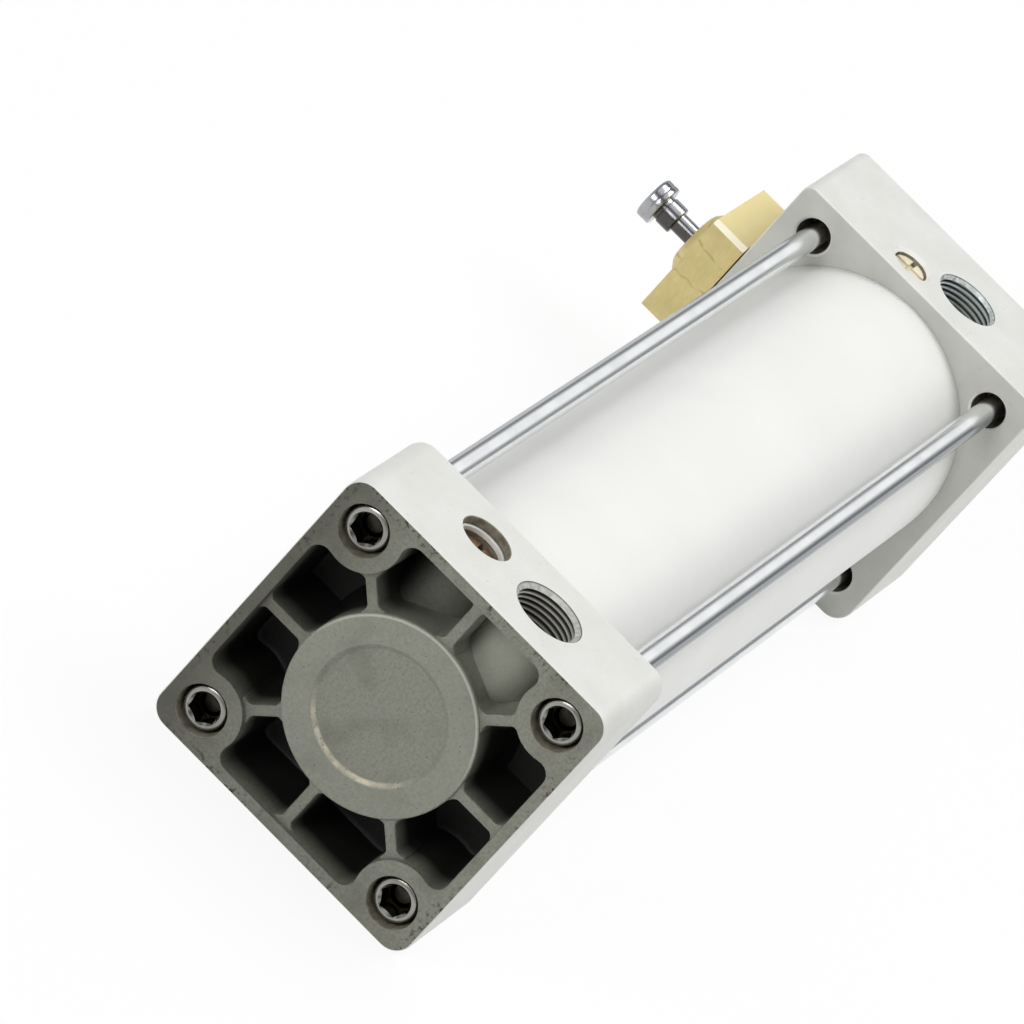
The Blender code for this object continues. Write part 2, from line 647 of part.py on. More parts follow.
def barrel_seals(material):
    groove = SPIGOT_RADIUS - BARREL_SEAL_GROOVE_DEPTH + FIT
    for name, inner_face, inward in (
            ("rear_barrel_seal", X_REAR_INNER, 1), ("head_barrel_seal", X_HEAD_INNER, -1)):
        middle = sum(barrel_seal_groove(inner_face, inward)) / 2
        seal_ring(name, middle, groove, SPIGOT_RADIUS, BARREL_SEAL_SECTION, material)


def cushion_seals(material):
    for name, spigot, inward, plunger in (
            ("rear_cushion_seal", X_REAR_SPIGOT, 1, REAR_PLUNGER_DIAMETER),
            ("head_cushion_seal", X_HEAD_SPIGOT, -1, HEAD_SLEEVE_DIAMETER)):
        middle = sum(cushion_seal_span(spigot, inward)) / 2
        inner = plunger / 2 + FIT
        seal_ring(name, middle, inner, inner + CUSHION_SEAL_THICKNESS, CUSHION_SEAL_WIDTH,
                  material)


def rod_bush(material):
    start = X_HEAD_BORE_END + BUSH_END_GAP
    end = X_WIPER_SEAT - BUSH_END_GAP
    outer = BUSH_OUTER / 2
    outline = [(start, ROD_HOLE_RADIUS), (start, outer), (end, outer), (end, ROD_HOLE_RADIUS)]
    add_object("rod_bush", turned_mesh("rod_bush", outline, MEDIUM_SIDES), material)


def rod_wiper(material):
    """The rod seal with its wiping lip, which stands in the mouth of the nose."""
    start = X_WIPER_SEAT + FIT
    end = start + WIPER_LENGTH
    outer = WIPER_OUTER / 2
    outline = [
        (start, ROD_HOLE_RADIUS), (start, outer), (end - WIPER_LIP_LENGTH, outer),
        (end, ROD_HOLE_RADIUS + WIPER_LIP_THICKNESS), (end, ROD_HOLE_RADIUS),
    ]
    add_object("rod_wiper", turned_mesh("rod_wiper", outline, MEDIUM_SIDES), material)


def piston_grooves():
    """The piston's grooves as (name, start, end, depth) from its rear face."""
    seal = PISTON_SEAL_WIDTH + 2 * FIT
    wear = WEAR_RING_WIDTH + 2 * FIT
    last = PISTON_LENGTH - PISTON_SEAL_FROM_END - seal
    return [
        ("rear_piston_seal", PISTON_SEAL_FROM_END, PISTON_SEAL_FROM_END + seal, PISTON_SEAL_DEPTH),
        ("piston_wear_ring", (PISTON_LENGTH - wear) / 2, (PISTON_LENGTH + wear) / 2,
         WEAR_RING_DEPTH),
        ("front_piston_seal", last, last + seal, PISTON_SEAL_DEPTH),
    ]


def piston(material, parent):
    radius = BORE / 2 - PISTON_CLEARANCE
    hole = ROD_SPIGOT_DIAMETER / 2 + FIT
    outline = [(0, hole), (0, radius)]
    for _, start, end, depth in piston_grooves():
        outline += [(start, radius), (start, radius - depth), (end, radius - depth), (end, radius)]
    outline += [(PISTON_LENGTH, radius), (PISTON_LENGTH, hole)]
    mesh = turned_mesh("piston", outline, MEDIUM_SIDES)
    add_object("piston", mesh, material, (X_PISTON, 0, 0), parent)


def piston_rings(seal_material, wear_material, parent):
    """Two lip seals and the wear ring that ride in the piston's grooves."""
    radius = BORE / 2 - PISTON_CLEARANCE
    for name, start, end, depth in piston_grooves():
        material = wear_material if name == "piston_wear_ring" else seal_material
        inner = radius - depth + FIT
        seal_ring(name, X_PISTON + (start + end) / 2, inner, BORE / 2 - FIT,
                  end - start - 2 * FIT, material, parent)


def piston_rod(material, parent):
    """Spigot through the piston, the ground rod, and the threaded end with two spanner flats."""
    spigot = ROD_SPIGOT_DIAMETER / 2
    thread = ROD_THREAD_DIAMETER / 2
    radius = ROD_DIAMETER / 2
    start = X_PISTON - ROD_SPIGOT_PAST_PISTON
    shoulder = X_PISTON_FRONT + FIT
    outline = [
        (start, 0), (start, spigot), (shoulder, spigot), (shoulder, radius),
        (X_ROD_SHOULDER - ROD_SHOULDER_CHAMFER, radius),
        (X_ROD_SHOULDER, radius - ROD_SHOULDER_CHAMFER),
        (X_ROD_SHOULDER, thread), (X_ROD_END - ROD_THREAD_CHAMFER, thread),
        (X_ROD_END, thread - ROD_THREAD_CHAMFER), (X_ROD_END, 0),
    ]
    rod = add_object("piston_rod", turned_mesh("piston_rod", outline, MEDIUM_SIDES), material,
                     parent=parent)
    end = X_ROD_SHOULDER - FLATS_FROM_THREAD
    low = (end - FLATS_LENGTH, -ROD_DIAMETER, FLATS_ACROSS / 2)
    flat = box_mesh("flat", low, (end, ROD_DIAMETER, ROD_DIAMETER))
    cut(rod, tool(flat), tool(flat, turn=math.pi))


def head_cushion_sleeve(material, parent):
    start = X_PISTON_FRONT + FIT
    end = start + CUSHION_LENGTH
    outer = HEAD_SLEEVE_DIAMETER / 2
    outline = [
        (start, ROD_HOLE_RADIUS), (start, outer), (end - HEAD_SLEEVE_CHAMFER, outer),
        (end, outer - HEAD_SLEEVE_CHAMFER), (end, ROD_HOLE_RADIUS),
    ]
    mesh = turned_mesh("head_cushion_sleeve", outline, MEDIUM_SIDES)
    add_object("head_cushion_sleeve", mesh, material, parent=parent)


def rear_cushion_plunger(material, parent):
    """The nut that holds the piston on the rod, turned as the rear cushion's plunger."""
    top = X_PISTON - FIT
    tip = top - CUSHION_LENGTH
    hole_end = X_PISTON - ROD_SPIGOT_PAST_PISTON - FIT
    radius = REAR_PLUNGER_DIAMETER / 2
    hole = ROD_SPIGOT_DIAMETER / 2 + FIT
    outline = [
        (tip, 0), (tip, radius - REAR_PLUNGER_CHAMFER), (tip + REAR_PLUNGER_CHAMFER, radius),
        (top, radius), (top, hole), (hole_end, hole), (hole_end, 0),
    ]
    mesh = turned_mesh("rear_cushion_plunger", outline, MEDIUM_SIDES)
    add_object("rear_cushion_plunger", mesh, material, parent=parent)


def rod_nut(material, parent):
    start = X_ROD_SHOULDER + ROD_NUT_FROM_SHOULDER
    end = start + ROD_NUT_THICKNESS
    corner = ROD_NUT_ACROSS / math.sqrt(3)
    outline = [(start, 0), (start, corner), (end, corner), (end, 0)]
    nut = add_object("rod_nut", turned_mesh("rod_nut", outline, 6), material, parent=parent)
    hole = ROD_THREAD_DIAMETER / 2 + FIT
    low, high = start - OVERRUN, end + OVERRUN
    outline = [(low, 0), (low, hole), (high, hole), (high, 0)]
    cut(nut, tool(turned_mesh("rod_nut_hole", outline, MEDIUM_SIDES)))


def cushion_screw(name, place, hole, body, tip, face_depth, slots, material, parent):
    """A needle screw on a Z axis: head, body and a tapered tip. Its origin is on its face."""
    face, under, _, body_end, tip_end = screw_levels(face_depth)
    radius = hole / 2 - FIT
    outline = [
        (0, 0), (0, radius), (under - face, radius), (under - face, body / 2),
        (body_end - face, body / 2), (body_end - face, tip / 2),
        (tip_end - face, SCREW_POINT_DIAMETER / 2), (tip_end - face, 0),
    ]
    mesh = turned_mesh(name, outline, SMALL_SIDES, "Z")
    location = (place[0], place[1], face)
    screw = add_object(name, mesh, material, location, parent)
    slot_tools = []
    for number in range(slots):
        half = (hole, SCREW_SLOT_WIDTH / 2)
        across = half if number == 0 else half[::-1]
        low = (-across[0], -across[1], -SCREW_SLOT_DEPTH)
        high = (across[0], across[1], OVERRUN)
        slot_tools.append(tool(box_mesh(f"{name}_slot_{number + 1}", low, high), location))
    cut(screw, *slot_tools)


def screw_ring(name, place, hole, body, face_depth, material, parent):
    """The rubber ring under a cushion screw's head."""
    ring_foot = screw_levels(face_depth)[2]
    seal_ring(name, ring_foot + SCREW_RING_HEIGHT / 2, body / 2 + FIT, hole / 2 - FIT,
              SCREW_RING_HEIGHT, material, parent, place, "Z")


def snap_ring(place, material):
    """The retaining ring above the rear cushion screw."""
    top = HALF_CAP - SNAP_RING_TOP_DEPTH
    foot = top - SNAP_RING_HEIGHT
    inner, outer = SNAP_RING_INNER / 2, SNAP_RING_OUTER / 2
    outline = [(foot, inner), (foot, outer), (top, outer), (top, inner)]
    mesh = turned_mesh("rear_snap_ring", outline, SMALL_SIDES, "Z")
    add_object("rear_snap_ring", mesh, material, (place[0], place[1], 0))


def valve_body(material):
    """A brass block that stands on the cap, with a spigot into the cap and a bored middle."""
    half = VALVE_LENGTH / 2, VALVE_HEIGHT / 2, VALVE_WIDTH / 2
    shape = bmesh.new()
    bmesh.ops.create_cube(shape, size=1.0)
    bmesh.ops.scale(shape, verts=shape.verts[:], vec=[2 * size for size in half])
    bmesh.ops.bevel(shape, geom=shape.edges[:], offset=VALVE_CHAMFER, segments=1,
                    affect="EDGES")
    place = (VALVE_X, VALVE_BASE + VALVE_HEIGHT / 2, 0)
    body = add_object("valve_body", finish_mesh("valve_body", shape, smooth=False), material,
                      place)
    spigot = VALVE_SPIGOT_DIAMETER / 2
    foot, root = VALVE_BASE - VALVE_SPIGOT_LENGTH, VALVE_BASE + OVERRUN
    outline = [(foot, 0), (foot, spigot), (root, spigot), (root, 0)]
    axis = (VALVE_X, 0, 0)
    fuse(body, tool(turned_mesh("valve_spigot", outline, SMALL_SIDES, "Y"), axis))
    seat = VALVE_BASE + VALVE_SEAT_FROM_BASE
    chamber = VALVE_BASE + VALVE_CHAMBER_FROM_BASE
    shank = VALVE_TOP - GLAND_SHANK_LENGTH
    out = VALVE_TOP + OVERRUN
    outline = [
        (foot - OVERRUN, 0), (foot - OVERRUN, VALVE_PASSAGE / 2), (seat, VALVE_PASSAGE / 2),
        (seat, VALVE_SEAT_DIAMETER / 2), (chamber, VALVE_SEAT_DIAMETER / 2),
        (chamber, VALVE_CHAMBER_DIAMETER / 2), (shank, VALVE_CHAMBER_DIAMETER / 2),
        (shank, GLAND_SHANK_DIAMETER / 2 + FIT), (out, GLAND_SHANK_DIAMETER / 2 + FIT), (out, 0),
    ]
    bore = tool(turned_mesh("valve_bore", outline, SMALL_SIDES, "Y"), axis)
    end = VALVE_LENGTH / 2 + OVERRUN
    radius = EXHAUST_DIAMETER / 2
    outline = [(0, 0), (0, radius), (end, radius), (end, 0)]
    exhaust = turned_mesh("valve_exhaust", outline, TINY_SIDES)
    cut(body, bore, tool(exhaust, (VALVE_X, VALVE_BASE + EXHAUST_FROM_BASE, 0)))


def valve_gland(material):
    """The low round gland nut that the needle comes out of."""
    hole = NEEDLE_DIAMETER / 2 + FIT
    shank = GLAND_SHANK_DIAMETER / 2
    flange = GLAND_DIAMETER / 2
    seat = FIT
    foot = -GLAND_SHANK_LENGTH + 2 * FIT
    top = seat + GLAND_HEIGHT
    outline = [
        (foot, hole), (foot, shank), (seat, shank), (seat, flange),
        (top - GLAND_CHAMFER, flange), (top, flange - GLAND_CHAMFER), (top, hole),
    ]
    mesh = turned_mesh("valve_gland", outline, MEDIUM_SIDES, "Y")
    add_object("valve_gland", mesh, material, (VALVE_X, VALVE_TOP, 0))


def valve_needle(material, parent):
    """The adjusting needle, turned in one piece: tip, shaft, collar and flat knob."""
    foot = NEEDLE_FOOT_FROM_BASE
    shown = VALVE_HEIGHT + FIT + GLAND_HEIGHT + NEEDLE_SHOWN
    collar = shown + NEEDLE_COLLAR_LENGTH
    knob = collar + NEEDLE_KNOB_LENGTH
    bevel = NEEDLE_KNOB_CHAMFER
    knob_radius = NEEDLE_KNOB_DIAMETER / 2
    outline = [
        (foot - NEEDLE_TIP_LENGTH, 0), (foot - NEEDLE_TIP_LENGTH, NEEDLE_POINT_DIAMETER / 2),
        (foot, NEEDLE_TIP_DIAMETER / 2), (foot, NEEDLE_DIAMETER / 2),
        (shown, NEEDLE_DIAMETER / 2), (shown, NEEDLE_COLLAR_DIAMETER / 2),
        (collar, NEEDLE_COLLAR_DIAMETER / 2), (collar, knob_radius),
        (knob - bevel, knob_radius), (knob, knob_radius - bevel), (knob, 0),
    ]
    mesh = turned_mesh("valve_needle", outline, MEDIUM_SIDES, "Y")
    add_object("valve_needle", mesh, material, (0, 0, 0), parent)


def valve_ring(material, parent):
    """The rubber ring on the needle, midway in its chamber."""
    low = VALVE_CHAMBER_FROM_BASE + EXHAUST_DIAMETER
    high = VALVE_HEIGHT - GLAND_SHANK_LENGTH
    seal_ring("valve_ring", (low + high) / 2, NEEDLE_DIAMETER / 2 + FIT,
              VALVE_CHAMBER_DIAMETER / 2 - FIT, NEEDLE_RING_HEIGHT, material, parent, (0, 0), "Y")


def axis_empty(name, location):
    """An empty on a joint's axis, which carries the pieces that move about it."""
    empty = add_object(name, None, location=location)
    empty.empty_display_size = ROD_DIAMETER
    return empty


def build():
    clear_scene()
    casting = make_material("cast_aluminium", (0.60, 0.60, 0.57), 0.55, 0.35)
    barrel = make_material("anodised_tube", (0.86, 0.86, 0.86), 0.30, 0.25)
    zinc = make_material("zinc_plate", (0.70, 0.73, 0.74), 0.28, 1.0)
    nut_steel = make_material("nut_steel", (0.42, 0.42, 0.40), 0.35, 1.0)
    chrome = make_material("hard_chrome", (0.78, 0.79, 0.80), 0.10, 1.0)
    rubber = make_material("black_rubber", (0.03, 0.03, 0.03), 0.60, 0.0)
    bronze = make_material("bush_bronze", (0.55, 0.36, 0.17), 0.45, 1.0)
    brass = make_material("brass", (0.78, 0.68, 0.40), 0.35, 1.0)
    acetal = make_material("wear_plastic", (0.10, 0.12, 0.16), 0.50, 0.0)
    turned_aluminium = make_material("turned_aluminium", (0.72, 0.72, 0.72), 0.35, 0.9)
    needle_steel = make_material("needle_steel", (0.62, 0.63, 0.65), 0.18, 1.0)

    rear_cap(casting)
    head_cap(casting)
    barrel_tube(barrel)
    tie_rods(zinc)
    tie_nuts("rear", X_REAR_FACE, -1, nut_steel)
    tie_nuts("head", X_HEAD_FACE, 1, nut_steel)
    barrel_seals(rubber)
    cushion_seals(rubber)
    rod_bush(bronze)
    rod_wiper(rubber)

    rod_axis = axis_empty("rod_axis", (0, 0, 0))
    piston(turned_aluminium, rod_axis)
    piston_rings(rubber, acetal, rod_axis)
    piston_rod(chrome, rod_axis)
    head_cushion_sleeve(turned_aluminium, rod_axis)
    rear_cushion_plunger(nut_steel, rod_axis)
    rod_nut(zinc, rod_axis)

    rear_place = (X_REAR_FACE + REAR_SCREW_FROM_FACE, REAR_SCREW_Y)
    head_place = (X_HEAD_INNER + HEAD_SCREW_FROM_INNER_FACE, HEAD_SCREW_Y)
    cushion_screw("rear_cushion_screw", rear_place, REAR_SCREW_HOLE, REAR_SCREW_BODY,
                  REAR_SCREW_TIP, REAR_SCREW_FACE_DEPTH, 1, brass, None)
    screw_ring("rear_cushion_ring", rear_place, REAR_SCREW_HOLE, REAR_SCREW_BODY,
               REAR_SCREW_FACE_DEPTH, rubber, None)
    snap_ring(rear_place, zinc)
    cushion_screw("head_cushion_screw", head_place, HEAD_SCREW_HOLE, HEAD_SCREW_BODY,
                  HEAD_SCREW_TIP, HEAD_SCREW_FACE_DEPTH, 2, brass, None)
    screw_ring("head_cushion_ring", head_place, HEAD_SCREW_HOLE, HEAD_SCREW_BODY,
               HEAD_SCREW_FACE_DEPTH, rubber, None)

    valve_body(brass)
    valve_gland(brass)
    needle_axis = axis_empty("needle_axis", (VALVE_X, VALVE_BASE, 0))
    valve_needle(needle_steel, needle_axis)
    valve_ring(rubber, needle_axis)


build()
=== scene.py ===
# %% [markdown]
# # A square tie-rod air cylinder
#
# Compressed air goes in through one of two ports and pushes a piston along a barrel. Two square caps
# close the barrel, and four long rods pull the caps together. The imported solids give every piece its
# place. This file replaces the pieces that show with finer shapes and gives each one its finish.

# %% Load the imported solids
import json
import math

import bmesh
import bpy
from mathutils import Matrix, Vector

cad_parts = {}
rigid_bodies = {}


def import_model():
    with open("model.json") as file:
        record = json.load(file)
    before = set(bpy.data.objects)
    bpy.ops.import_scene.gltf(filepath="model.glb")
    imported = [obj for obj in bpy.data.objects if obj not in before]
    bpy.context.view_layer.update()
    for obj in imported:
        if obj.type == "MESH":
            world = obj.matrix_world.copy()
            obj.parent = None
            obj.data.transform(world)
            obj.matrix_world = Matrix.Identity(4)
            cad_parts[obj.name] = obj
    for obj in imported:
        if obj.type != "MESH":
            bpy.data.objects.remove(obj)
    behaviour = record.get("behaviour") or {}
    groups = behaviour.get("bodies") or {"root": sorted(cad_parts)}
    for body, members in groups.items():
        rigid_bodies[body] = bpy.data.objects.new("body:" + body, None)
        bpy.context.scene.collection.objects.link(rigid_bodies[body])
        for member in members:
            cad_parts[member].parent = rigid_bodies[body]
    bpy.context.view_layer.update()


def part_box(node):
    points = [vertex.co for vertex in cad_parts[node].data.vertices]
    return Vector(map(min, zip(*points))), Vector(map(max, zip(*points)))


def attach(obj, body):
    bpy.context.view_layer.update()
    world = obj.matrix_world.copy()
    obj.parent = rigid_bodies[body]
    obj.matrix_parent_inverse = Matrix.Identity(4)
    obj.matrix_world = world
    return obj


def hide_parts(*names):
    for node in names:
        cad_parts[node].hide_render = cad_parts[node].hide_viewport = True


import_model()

# %% [markdown]
# ## Places and sizes
#
# The planes that the pieces share are read from the solids, so that nothing has to be fitted by eye.
# The sizes of what the solids leave plain, such as threads and rounded edges, are named here or where
# they are first used. All lengths are in metres.

# %% Planes and radii read from the solids
rear_low, rear_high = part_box("rear_cap")
head_low, head_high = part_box("head_cap")
tube_low, tube_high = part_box("barrel_tube")
rod_low, rod_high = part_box("piston_rod")
SPIGOT_LENGTH = 0.003
NOSE_LENGTH = 0.014
REAR_FACE = rear_low.x
REAR_SPIGOT = rear_high.x
REAR_INNER = REAR_SPIGOT - SPIGOT_LENGTH
HEAD_SPIGOT = head_low.x
HEAD_INNER = HEAD_SPIGOT + SPIGOT_LENGTH
NOSE_FACE = head_high.x
HEAD_FACE = NOSE_FACE - NOSE_LENGTH
HALF = rear_high.z
TUBE_RADIUS = tube_high.z
BORE_RADIUS = 0.0315
TIE = 0.0285
BOSS_RADIUS = 0.0224
RECESS_RADIUS = 0.0158
RECESS_FLOOR_RADIUS = 0.0146
NOSE_RADIUS = 0.0225
GAP = 0.0003
SEAT_GAP = 0.00004
SEAT_DEPTH = 0.004
PASSAGE_END = 0.004
TOLERANCE = 0.0001
OVERRUN = 0.001
EDGE_BREAK = 0.0003
ROUND = 96
SMALL_ROUND = 48
print("caps", REAR_FACE, REAR_INNER, HEAD_INNER, HEAD_FACE, "half side", HALF)


def middle(node):
    """The middle of a solid's box."""
    low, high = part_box(node)
    return (low + high) / 2


# %% [markdown]
# ## Wires and nodes
#
# A finish or a pattern is a tree of nodes. To keep its maths readable, a socket is wrapped in a small
# class whose operators add Math nodes, so that `1 - mask` works as written. One method adds any other
# node: it sets the node's own settings first and then its sockets.

# %% Wire and Nodes
class Wire:
    """A socket of a node tree. The operators on it add Math nodes."""

    def __init__(self, nodes, socket):
        self.nodes = nodes
        self.socket = socket

    def maths(self, operation, first, second=0.0):
        return self.nodes.add("ShaderNodeMath", {"operation": operation}, {0: first, 1: second})

    def __add__(self, other):
        return self.maths("ADD", self, other)

    def __sub__(self, other):
        return self.maths("SUBTRACT", self, other)

    def __rsub__(self, other):
        return self.maths("SUBTRACT", other, self)

    def __mul__(self, other):
        return self.maths("MULTIPLY", self, other)

    def __truediv__(self, other):
        return self.maths("DIVIDE", self, other)

    def __abs__(self):
        return self.maths("ABSOLUTE", self)


class Nodes:
    """A node tree, and the one method that adds nodes to it."""

    def __init__(self, tree):
        self.tree = tree

    def add(self, kind, settings=None, inputs=None, output=0):
        node = self.tree.nodes.new(kind)
        for name, value in (settings or {}).items():
            if name == "stops":
                self.set_stops(node.color_ramp, value)
            else:
                setattr(node, name, value)
        for name, value in (inputs or {}).items():
            self.feed(node.inputs[name], value)
        return Wire(self, node.outputs[output])

    def feed(self, socket, value):
        if isinstance(value, Wire):
            self.tree.links.new(value.socket, socket)
        else:
            socket.default_value = value

    def set_stops(self, ramp, stops):
        while len(ramp.elements) < len(stops):
            ramp.elements.new(1.0)
        for element, (position, colour) in zip(ramp.elements, stops):
            element.position = position
            element.color = colour


# %% [markdown]
# ## Meshes from rings
#
# Nearly everything here is turned on a lathe or cast with straight walls. Both are rings of points
# that are skinned: round rings for turned pieces, and the outline of a section for cast ones. The
# outlines carry their own small roundings, because a corner that catches the light is what makes
# metal look like metal.

# %% Skin, turned and stacked shapes
def mesh_of(name, shape):
    """A mesh from a bmesh, which is freed."""
    mesh = bpy.data.meshes.new(name)
    shape.to_mesh(mesh)
    shape.free()
    return mesh


def cuboid(size, centre):
    """A bmesh that holds one box."""
    shape = bmesh.new()
    place = Matrix.Translation(centre) @ Matrix.Diagonal((*size, 1.0))
    bmesh.ops.create_cube(shape, size=1.0, matrix=place)
    return shape


def skin(name, rings, closed=False):
    """Faces between rings of points. A ring of one point is a pole, and an open end gets a lid."""
    shape = bmesh.new()
    rows = [[shape.verts.new(point) for point in ring] for ring in rings]
    pairs = list(zip(rows, rows[1:]))
    if closed:
        pairs.append((rows[-1], rows[0]))
    else:
        for row in (rows[0], rows[-1]):
            if len(row) > 1:
                shape.faces.new(row)
    for first, second in pairs:
        count = max(len(first), len(second))
        for step in range(count):
            after = (step + 1) % count
            corners = [first[step % len(first)], first[after % len(first)],
                       second[after % len(second)], second[step % len(second)]]
            shape.faces.new(list(dict.fromkeys(corners)))
    bmesh.ops.recalc_face_normals(shape, faces=shape.faces[:])
    return mesh_of(name, shape)


def turned(name, outline, sides=ROUND, axis="X", centre=(0, 0, 0)):
    """A turned shape from pairs of place along the axis and radius. Off the axis it is a ring."""
    first = "XYZ".index(axis)

    def place(along, radius, angle):
        point = Vector(centre)
        point[first] += along
        point[(first + 1) % 3] += radius * math.cos(angle)
        point[(first + 2) % 3] += radius * math.sin(angle)
        return point

    rings = []
    for along, radius in outline:
        count = sides if radius > 0 else 1
        rings.append([place(along, radius, step * math.tau / count) for step in range(count)])
    return skin(name, rings, closed=outline[0][1] > 0)


def soften(points, closed=False, steps=4):
    """Rounds an outline's corners. A point's third number is how far its rounding reaches."""
    result = []
    for index, point in enumerate(points):
        reach = point[2] if len(point) > 2 else 0
        if not reach or not (closed or 0 < index < len(points) - 1):
            result.append(tuple(point[:2]))
            continue
        here = Vector(point[:2])
        before = (Vector(points[index - 1][:2]) - here).normalized() * reach
        after = (Vector(points[(index + 1) % len(points)][:2]) - here).normalized() * reach
        for step in range(steps + 1):
            share = step / steps
            result.append(tuple(here + before * (1 - share) ** 2 + after * share ** 2))
    return result


def arc(centre, radius, start, end, steps):
    """Points on an arc, both ends included."""
    angles = [start + (end - start) * step / steps for step in range(steps + 1)]
    return [(centre[0] + radius * math.cos(angle), centre[1] + radius * math.sin(angle))
            for angle in angles]


def four_times(points):
    """The points of one corner, repeated round the square."""
    result = []
    for turn in range(4):
        cosine, sine = round(math.cos(turn * math.pi / 2)), round(math.sin(turn * math.pi / 2))
        result += [(y * cosine - z * sine, y * sine + z * cosine) for y, z in points]
    return result


def stacked(name, outline, levels):
    """A straight-walled shape along X: outline(inset) is its section, levels are (x, inset)."""
    return skin(name, [[(x, y, z) for y, z in outline(inset)] for x, inset in levels])


def new_piece(name, mesh):
    piece = bpy.data.objects.new(name, mesh)
    bpy.context.scene.collection.objects.link(piece)
    return piece


# %% [markdown]
# ## Cutting and joining
#
# A drilled hole is a solid taken away, and a rib is a solid added, so the caps are made with
# Booleans, all tools of a step at once. The result is baked to a plain mesh, and the slivers that
# the cuts leave are dissolved. Flat faces then get weighted normals, so that a wide flat beside a
# narrow rounding stays flat in the light.

# %% Bake, combine and dress
def settle(piece):
    """Bakes a piece's modifiers into its mesh."""
    graph = bpy.context.evaluated_depsgraph_get()
    baked = bpy.data.meshes.new_from_object(piece.evaluated_get(graph))
    piece.modifiers.clear()
    piece.data = baked


def combine(piece, meshes, operation):
    """Cuts the meshes from the piece, joins them to it, or keeps what they share with it."""
    group = bpy.data.collections.new("tools")
    bpy.context.scene.collection.children.link(group)
    for mesh in meshes:
        group.objects.link(bpy.data.objects.new(mesh.name, mesh))
    modifier = piece.modifiers.new("tools", "BOOLEAN")
    modifier.operation = operation
    modifier.solver = "EXACT"
    modifier.operand_type = "COLLECTION"
    modifier.collection = group
    settle(piece)
    for helper in list(group.objects):
        bpy.data.objects.remove(helper)
    bpy.data.collections.remove(group)


def join(piece, meshes):
    """Adds whole meshes to a piece's mesh as they are."""
    shape = bmesh.new()
    shape.from_mesh(piece.data)
    for mesh in meshes:
        shape.from_mesh(mesh)
    shape.to_mesh(piece.data)
    shape.free()


SLIVER = 1e-7


def dress(piece, nodes, body, finishes, rule=None, sharp=35):
    """Clears a piece of slivers, shades and finishes it, and puts it in place of its solids."""
    mesh = piece.data
    shape = bmesh.new()
    shape.from_mesh(mesh)
    bmesh.ops.dissolve_degenerate(shape, dist=SLIVER, edges=shape.edges)
    shape.to_mesh(mesh)
    shape.free()
    mesh.materials.clear()
    for finish in finishes:
        mesh.materials.append(finish)
    for face in mesh.polygons:
        face.material_index = rule(face.center, face.normal) if rule else 0
    mesh.shade_smooth()
    mesh.set_sharp_from_angle(angle=math.radians(sharp))
    modifier = piece.modifiers.new("even_normals", "WEIGHTED_NORMAL")
    modifier.keep_sharp = True
    settle(piece)
    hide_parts(*nodes)
    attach(piece, body)
    print(piece.name, "has", len(piece.data.polygons), "faces")


# %% [markdown]
# ## Patterns made by Geometry Nodes
#
# Two things repeat on this cylinder. Rods, nuts and ribs stand in a ring round the bore, so one tree
# takes a piece and sets it out by count, radius and first angle. Threads follow a spiral, so a second
# tree sweeps a ridge with a flat crest along one. Both trees have named sizes, so a change of bore or
# pitch is a change of one number.

# %% The ring tree
def new_tree(name, inputs):
    tree = bpy.data.node_groups.new(name, "GeometryNodeTree")
    for label, kind in inputs:
        tree.interface.new_socket(label, in_out="INPUT", socket_type="NodeSocket" + kind)
    tree.interface.new_socket("Geometry", in_out="OUTPUT", socket_type="NodeSocketGeometry")
    nodes = Nodes(tree)
    group = tree.nodes.new("NodeGroupInput")
    return tree, nodes, {label: Wire(nodes, group.outputs[label]) for label, _ in inputs}


def end_tree(nodes, geometry, finish):
    """Every tree ends in real meshes with a material."""
    real = nodes.add("GeometryNodeRealizeInstances", {}, {"Geometry": geometry})
    painted = nodes.add("GeometryNodeSetMaterial", {}, {"Geometry": real, "Material": finish})
    out = nodes.tree.nodes.new("NodeGroupOutput")
    nodes.feed(out.inputs["Geometry"], painted)


def ring_tree():
    tree, nodes, given = new_tree("pieces_round_the_bore", (
        ("Piece", "Object"), ("Count", "Int"), ("Radius", "Float"), ("First Angle", "Float"),
        ("Follow", "Float"), ("Own Turn", "Float"), ("Seed", "Int"), ("Finish", "Material")))
    index = nodes.add("GeometryNodeInputIndex")
    angle = given["First Angle"] + index * math.tau / given["Count"]
    cosine = nodes.add("ShaderNodeMath", {"operation": "COSINE"}, {0: angle})
    sine = nodes.add("ShaderNodeMath", {"operation": "SINE"}, {0: angle})
    place = nodes.add("ShaderNodeCombineXYZ", {}, {
        "Y": cosine * given["Radius"], "Z": sine * given["Radius"]})
    points = nodes.add("GeometryNodePoints", {}, {"Count": given["Count"], "Position": place})
    chance = nodes.add("FunctionNodeRandomValue", {"data_type": "FLOAT"},
                       {"Seed": given["Seed"]}, 1)
    turn = angle * given["Follow"] + chance * given["Own Turn"]
    rotation = nodes.add("ShaderNodeCombineXYZ", {}, {"X": turn})
    piece = nodes.add("GeometryNodeObjectInfo", {}, {"Object": given["Piece"]}, "Geometry")
    copies = nodes.add("GeometryNodeInstanceOnPoints", {}, {
        "Points": points, "Instance": piece, "Rotation": rotation})
    end_tree(nodes, copies, given["Finish"])
    return tree


def grown(name, tree, values):
    """The mesh that a tree makes with the named values."""
    carrier = new_piece(name, bpy.data.meshes.new(name))
    modifier = carrier.modifiers.new("tree", "NODES")
    modifier.node_group = tree
    for item in tree.interface.items_tree:
        if item.in_out == "INPUT" and item.name in values:
            modifier[item.identifier] = values[item.name]
    settle(carrier)
    mesh = carrier.data
    bpy.data.objects.remove(carrier)
    return mesh


RING = ring_tree()


